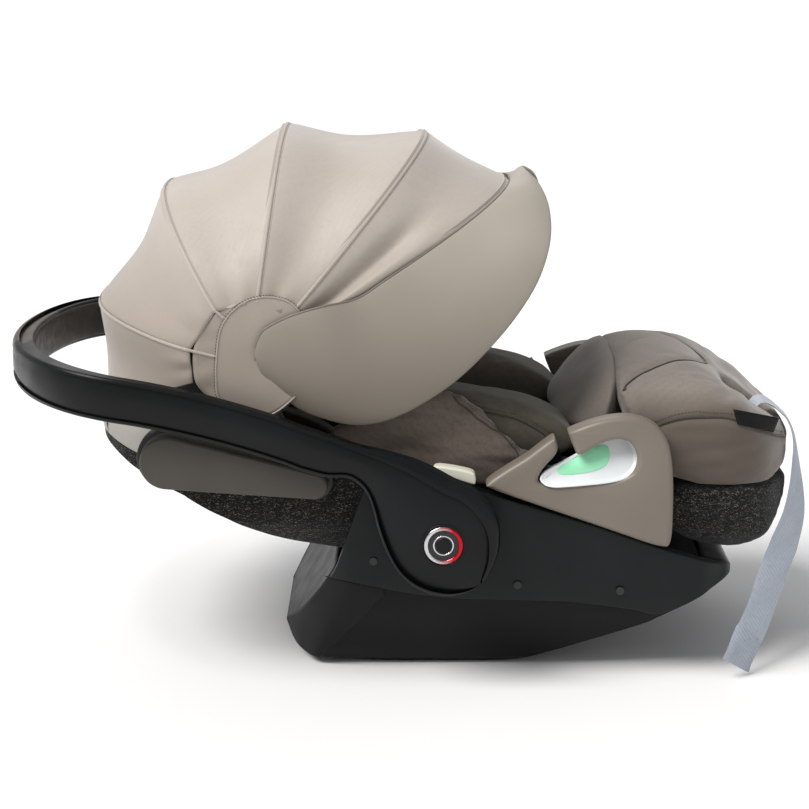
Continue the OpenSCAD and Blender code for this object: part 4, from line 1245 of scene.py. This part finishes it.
def soften(obj, voxel=5.0, relax=6, pressure=4.0, cap=4.0):
    """Turns a block into a stuffed form: even quads, rounded, blown up a little as cloth, then subdivided."""
    m = obj.modifiers.new("remesh", "REMESH")
    m.mode, m.voxel_size, m.use_smooth_shade = "VOXEL", voxel * MM, True
    m = obj.modifiers.new("relax", "SMOOTH")
    m.factor, m.iterations = 0.5, relax
    apply_modifiers(obj)
    rest = coords(obj)
    cloth = obj.modifiers.new("cloth", "CLOTH")
    s = cloth.settings
    s.use_pressure, s.uniform_pressure_force = True, pressure
    s.effector_weights.gravity = 0
    s.quality, s.mass = 5, 0.3
    s.tension_stiffness = s.compression_stiffness = 12
    cloth.point_cache.frame_end = CLOTH_FRAMES
    for f in range(1, CLOTH_FRAMES + 1):
        scene.frame_set(f)
    graph = bpy.context.evaluated_depsgraph_get()
    done = bpy.data.meshes.new_from_object(obj.evaluated_get(graph))
    moved = np.zeros(len(done.vertices) * 3)
    done.vertices.foreach_get("co", moved)
    bpy.data.meshes.remove(done)
    moved = moved.reshape(-1, 3) / MM - rest
    far = np.linalg.norm(moved, axis=1)
    moved *= (cap * np.tanh(far / cap) / np.maximum(far, 1e-9))[:, None]
    obj.modifiers.clear()
    scene.frame_set(1)
    set_coords(obj, rest + moved)
    obj.modifiers.new("even", "SUBSURF").levels = 1
    apply_modifiers(obj)
    obj.data.shade_smooth()
    return obj


def displace(obj, amount):
    """Moves every point along its normal by amount(points, normals), in millimetres."""
    co, n = coords(obj), normals_of(obj)
    set_coords(obj, co + n * amount(co, n)[:, None])
    return obj


def waves(co, size, stretch=(1, 1, 1), seed=0.0):
    q = co * np.array(stretch) / size + seed
    return np.array([noise.noise(Vector(p)) for p in q])


def distance_to(co, path):
    path = np.array(path)
    best = np.full(len(co), 1e9)
    for a, b in zip(path[:-1], path[1:]):
        ab = b - a
        t = np.clip((co - a) @ ab / max(ab @ ab, 1e-9), 0, 1)
        best = np.minimum(best, np.linalg.norm(co - (a + t[:, None] * ab), axis=1))
    return best


def crease(obj, path, depth=2.2, width=4.0):
    """Draws the padding in along a sewn line."""
    return displace(obj, lambda co, n: -depth * np.exp(-((distance_to(co, path) / width) ** 2)))


def tree_of(obj):
    co = coords(obj)
    return BVHTree.FromPolygons([tuple(p) for p in co], [tuple(p.vertices) for p in obj.data.polygons])


def drop_on(obj, points, direction, lift=0.3, n=None):
    """Lays a line of points on a piece by casting them along direction; gives the places and the normals."""
    points = spline(points, n) if n else np.array(points, float)
    tree, d = tree_of(obj), Vector(direction).normalized()
    out, normals = [], []
    for p in points:
        hit, normal, _, _ = tree.ray_cast(Vector(p), d)
        if hit is None:
            hit, normal, _, _ = tree.find_nearest(Vector(p))
        if normal.dot(d) > 0:
            normal = -normal
        out.append(np.array(hit) + np.array(normal) * lift)
        normals.append(np.array(normal))
    out, normals = np.array(out), np.array(normals)
    for _ in range(3):
        out[1:-1] = (out[:-2] + 2 * out[1:-1] + out[2:]) / 4
    return out, normals


def sew(obj, body, slot, name, points, direction, piping=None, thread=None, n=60, depth=2.0, width=4.0):
    """Seam on a padded piece: a drawn-in line with piping or a row of thread in it."""
    line, normals = drop_on(obj, points, direction, 0.0, n)
    crease(obj, line, depth, width)
    line, normals = drop_on(obj, line + normals * 6, -normals.mean(0), 0.2)
    if piping:
        roll = tube(name + "_piping", line + normals * piping[1] * 0.35, piping[1], 8, 0.8, normals)
        fit(roll, body, piping[0], slot)
    if thread:
        t = frames_along(line)
        side = np.array([np.cross(a[0], b) for a, b in zip(t, normals)])
        for k, off in enumerate(thread[1]):
            row, ns = drop_on(obj, line + side * off + normals * 5, -normals.mean(0), 0.1)
            fit(stitches(f"{name}_thread_{k}", row, ns, STITCH_PITCH, 0.62, 0.42, 0.35),
                body, thread[0], slot)
    return line, normals


def both(points):
    return [np.array(points, float), mirror_y(points)]


def sew_sides(obj, body, slot, name, points, radius, off, n, depth, width):
    """Piped seam with a row of thread beside it, down each side."""
    for s, pts in zip("rl", both(points)):
        sew(obj, body, slot, f"{name}_{s}", pts, (0, 1 if s == "r" else -1, 0), (PIPING, radius),
            (THREAD, (off,)), n, depth, width)


# leg rest: knit body below, padded cover above
leg_body = soften(copy_node("leg_rest_knit", "leg_rest_shell"), 5, 6, 2.0, 1.5)
displace(leg_body, lambda co, n: 0.9 * waves(co, 34) + 0.35 * waves(co, 9, (1, 1, 1), 5.0))
fit(leg_body, "leg_rest", KNIT, "knit_black", "leg_rest_shell")

leg_pad = soften(copy_node("leg_rest_pad", "leg_rest_cushion"), 5, 7, 4.0, 4.0)
SIDE_PIPE = [[236, -165, 246], [249, -165, 251], [268, -165, 256], [290, -165, 258], [309, -165, 258],
             [330, -165, 252], [352, -160, 240], [374, -150, 228]]
PANEL_SEAM = [[210, -140, 330], [222, -112, 330], [247, -90, 330], [278, -62, 330], [302, -30, 330],
              [310, 0, 330], [302, 30, 330], [278, 62, 330], [247, 90, 330], [222, 112, 330], [210, 140, 330]]


def leg_folds(co, n):
    side = smoothstep((np.abs(co[:, 1]) - 128) / 24)
    pull = waves(co, 42, (0.5, 1.2, 1.9), 2.0) * 3.4 + waves(co, 17, (0.45, 1, 1.7), 7.0) * 1.3
    front = smoothstep((co[:, 0] - 290) / 40) * (1 - side)
    ruck = waves(co, 26, (1.5, 0.5, 1.5), 3.0) * 2.4
    return side * pull + front * ruck + 0.4 * waves(co, 60)


displace(leg_pad, leg_folds)
sew_sides(leg_pad, "leg_rest", "seat_fabric", "leg_side", SIDE_PIPE, 1.3, -4.5, 50, 2.6, 5)
sew(leg_pad, "leg_rest", "seat_fabric", "leg_panel", PANEL_SEAM, (0, 0, -1), (PIPING, 1.0), None, 110, 2.8, 5)
fit(leg_pad, "leg_rest", SEAT_LIGHT, "seat_fabric", "leg_rest_cushion")

# woven tag, laid over the pad's near upper edge
TAG_CORNERS = np.array([[[317, -130, 260], [367, -130, 251]],
                        [[321.5, -130, 245], [362, -130, 236.5]]], float)
tag_rows, tag_cols = 7, 21
LOOK = np.array([0, 0.973, -0.23])
tag_grid = np.array([lerp(lerp(*TAG_CORNERS[:, 0], g), lerp(*TAG_CORNERS[:, 1], g), f) - LOOK * 120
                     for g in np.linspace(0, 1, tag_rows) for f in np.linspace(0, 1, tag_cols)])
pad_tree = tree_of(leg_pad)
depth = np.array([pad_tree.ray_cast(Vector(q), Vector(LOOK))[3]
                  for q in tag_grid]).reshape(tag_rows, tag_cols)
reach = np.polynomial.Polynomial.fit(np.arange(tag_cols), depth.min(axis=0), 2)(np.arange(tag_cols))
slack = np.maximum(0, reach - depth.min(axis=0)).max() + 1.6  # the tag stays flat from edge to edge
tag_points = tag_grid + np.tile(reach - slack, tag_rows)[:, None] * LOOK
tag = mend(add_mesh("woven_tag", tag_points, grid_faces(tag_rows, tag_cols), 0))
thicken(tag, 1.0)
fit(tag, "leg_rest", TAG, "tag_black", "cloth_tag")

# sloping rear roll of the leg rest's cover, lightly wrinkled
APRON = [[213, 298], [203, 297], [192, 290], [178, 275], [164, 259], [154, 246], [150, 238], [153, 232],
         [166, 229], [190, 230], [212, 236], [216, 262]]
apron_rings = []
for u in np.linspace(-1, 1, 41):
    y = 128 * u
    crown = max(0.0, 1 - abs(u) ** 3.2) ** 0.5
    ring = chaikin(APRON, 2)
    middle = np.array([196.0, 250.0])
    ring = middle + (ring - middle) * max(0.06, crown)
    apron_rings.append(np.c_[ring[:, 0], np.full(len(ring), y), ring[:, 1]])
apron = loft("leg_rest_rear_roll", apron_rings, 0)
displace(apron, lambda co, n: 1.6 * waves(co, 40, (1, 0.7, 1), 9.0) + 0.5 * waves(co, 15, (1, 0.6, 1), 2.0))
fit(apron, "leg_rest", SEAT_LIGHT, "seat_fabric")
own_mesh(apron)

# seat, back, inlay, head and wings
seat = soften(copy_node("seat_pad", "seat_cushion"), 5, 7, 4.0, 4.0)
fit(seat, "shell", SEAT, "seat_fabric", "seat_cushion")
back_pad = soften(copy_node("back_pad", "back_cushion"), 4, 3, 3.0, 2.0)
fit(back_pad, "back", SEAT, "seat_fabric", "back_cushion")
insert = soften(copy_node("newborn_inlay", "inlay"), 4.5, 9, 4.0, 4.0)
displace(insert, lambda co, n: 1.2 * waves(co, 48))
INLAY_SEAM = [[-44, -150, 246], [-20, -150, 262], [10, -150, 266], [50, -150, 263], [84, -150, 257],
              [112, -150, 250], [134, -150, 240], [148, -150, 228], [152, -150, 216]]
sew_sides(insert, "back", "inlay_fabric", "inlay_side", INLAY_SEAM, 1.0, -4.0, 60, 2.0, 4)
fit(insert, "back", INLAY, "inlay_fabric", "inlay")

wings = soften(copy_node("side_wing_pads", "side_wings"), 4, 3, 4.0, 4.0)


def wing_folds(co, n):
    inside = smoothstep((co[:, 1] ** 2 - 146**2) / 800)
    return (waves(co, 36, (0.5, 1, 1.6), 1.0) * 4.2 + waves(co, 16, (0.5, 1, 1.7), 4.0) * 2.0) * inside


displace(wings, wing_folds)
WING_SEAM = [[40, -175, 284], [58, -175, 270], [82, -175, 250], [104, -175, 230], [116, -175, 214]]
sew_sides(wings, "back", "wing_fabric", "wing", WING_SEAM, 0.9, -4.0, 50, 2.0, 4)
fit(wings, "back", WING, "wing_fabric", "side_wings")

head = soften(copy_node("headrest_pad", "headrest_cushion"), 4.5, 6, 4.0, 3.0)
displace(head, lambda co, n: 0.8 * waves(co, 40))
fit(head, "headrest", INLAY, "inlay_fabric", "headrest_cushion")
pads = soften(copy_node("shoulder_pad_pair", "shoulder_pads"), 2.5, 3, 3.0, 1.5)
fit(pads, "headrest", INLAY, "inlay_fabric", "shoulder_pads")

# ---------- harness ----------
BELT_EDGE = ((-1, -0.4), (-1, 0.4), (-0.9, 1), (0, 1), (0.9, 1), (1, 0.4), (1, -0.4), (0.9, -1), (0, -1),
             (-0.9, -1))
for s, word in ((1, "left"), (-1, "right")):
    path = spline([[-50, 44, 200], [-20, 43, 186], [20, 41.5, 181], [70, 39.5, 180.6], [112, 36, 178.4],
                   [139, 33, 177.6]], 60) * [1, s, 1]
    rings = []
    for p, (t, _, _) in zip(path, frames_along(path)):
        w = unit(np.array([0, 1.0, 0]) - t * t[1])
        n = np.cross(t, w)
        rings.append([p + w * 10 * u + n * 1.0 * d for u, d in BELT_EDGE])
    belt = loft(f"lower_harness_{word}", rings, 60)
    paint(belt, WEB)
    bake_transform(belt)


# ---------- CAD nodes that stay ----------
def dress(finish, *names, bevel=0.8, angle=32):
    """Gives carried-over CAD nodes their finish and rounds their sharp edges."""
    for name in names:
        obj = NODES[name]
        for i in range(max(1, len(obj.material_slots))):
            if not obj.material_slots:
                obj.data.materials.append(finish.material)
            obj.material_slots[i].material = finish.material
        if bevel:
            weld = obj.modifiers.new("weld", "WELD")
            weld.merge_threshold = 0.00002
            flat = obj.modifiers.new("planar", "DECIMATE")
            flat.decimate_type, flat.angle_limit = "DISSOLVE", math.radians(2)
            m = obj.modifiers.new("bevel", "BEVEL")
            m.width, m.segments, m.limit_method = bevel * MM, 3, "ANGLE"
            m.angle_limit, m.harden_normals = math.radians(angle), False
            smooth = obj.modifiers.new("normals", "WEIGHTED_NORMAL")
            smooth.keep_sharp = False


dress(STEEL, "base_latch_bars", "pivot_axles", "buckle_tongues", "lsp_guides", "adjuster_lever",
      "canopy_pins")
dress(DARK, "cover_screws", "seat_pan", "strap_guide", "headrest_shell")
dress(WEB, "hip_straps", "crotch_strap", "harness_straps", bevel=0.5)
dress(GREY, "buckle_housing", bevel=1.6)
dress(RED, "buckle_button", bevel=1.2)
dress(FOAM, "foam_liner", bevel=2.0)
dress(BOW, "rear_bow", "bow_1", "bow_2", "bow_3", "visor_bow", bevel=0.5)

# ---------- floor ----------
FLOOR_HALF = 40000
corners = [[x * FLOOR_HALF, y * FLOOR_HALF, 0] for x, y in ((-1, -1), (1, -1), (1, 1), (-1, 1))]
floor = add_mesh("studio_floor", corners, [(0, 1, 2, 3)], 0)
paint(floor, FLOOR)
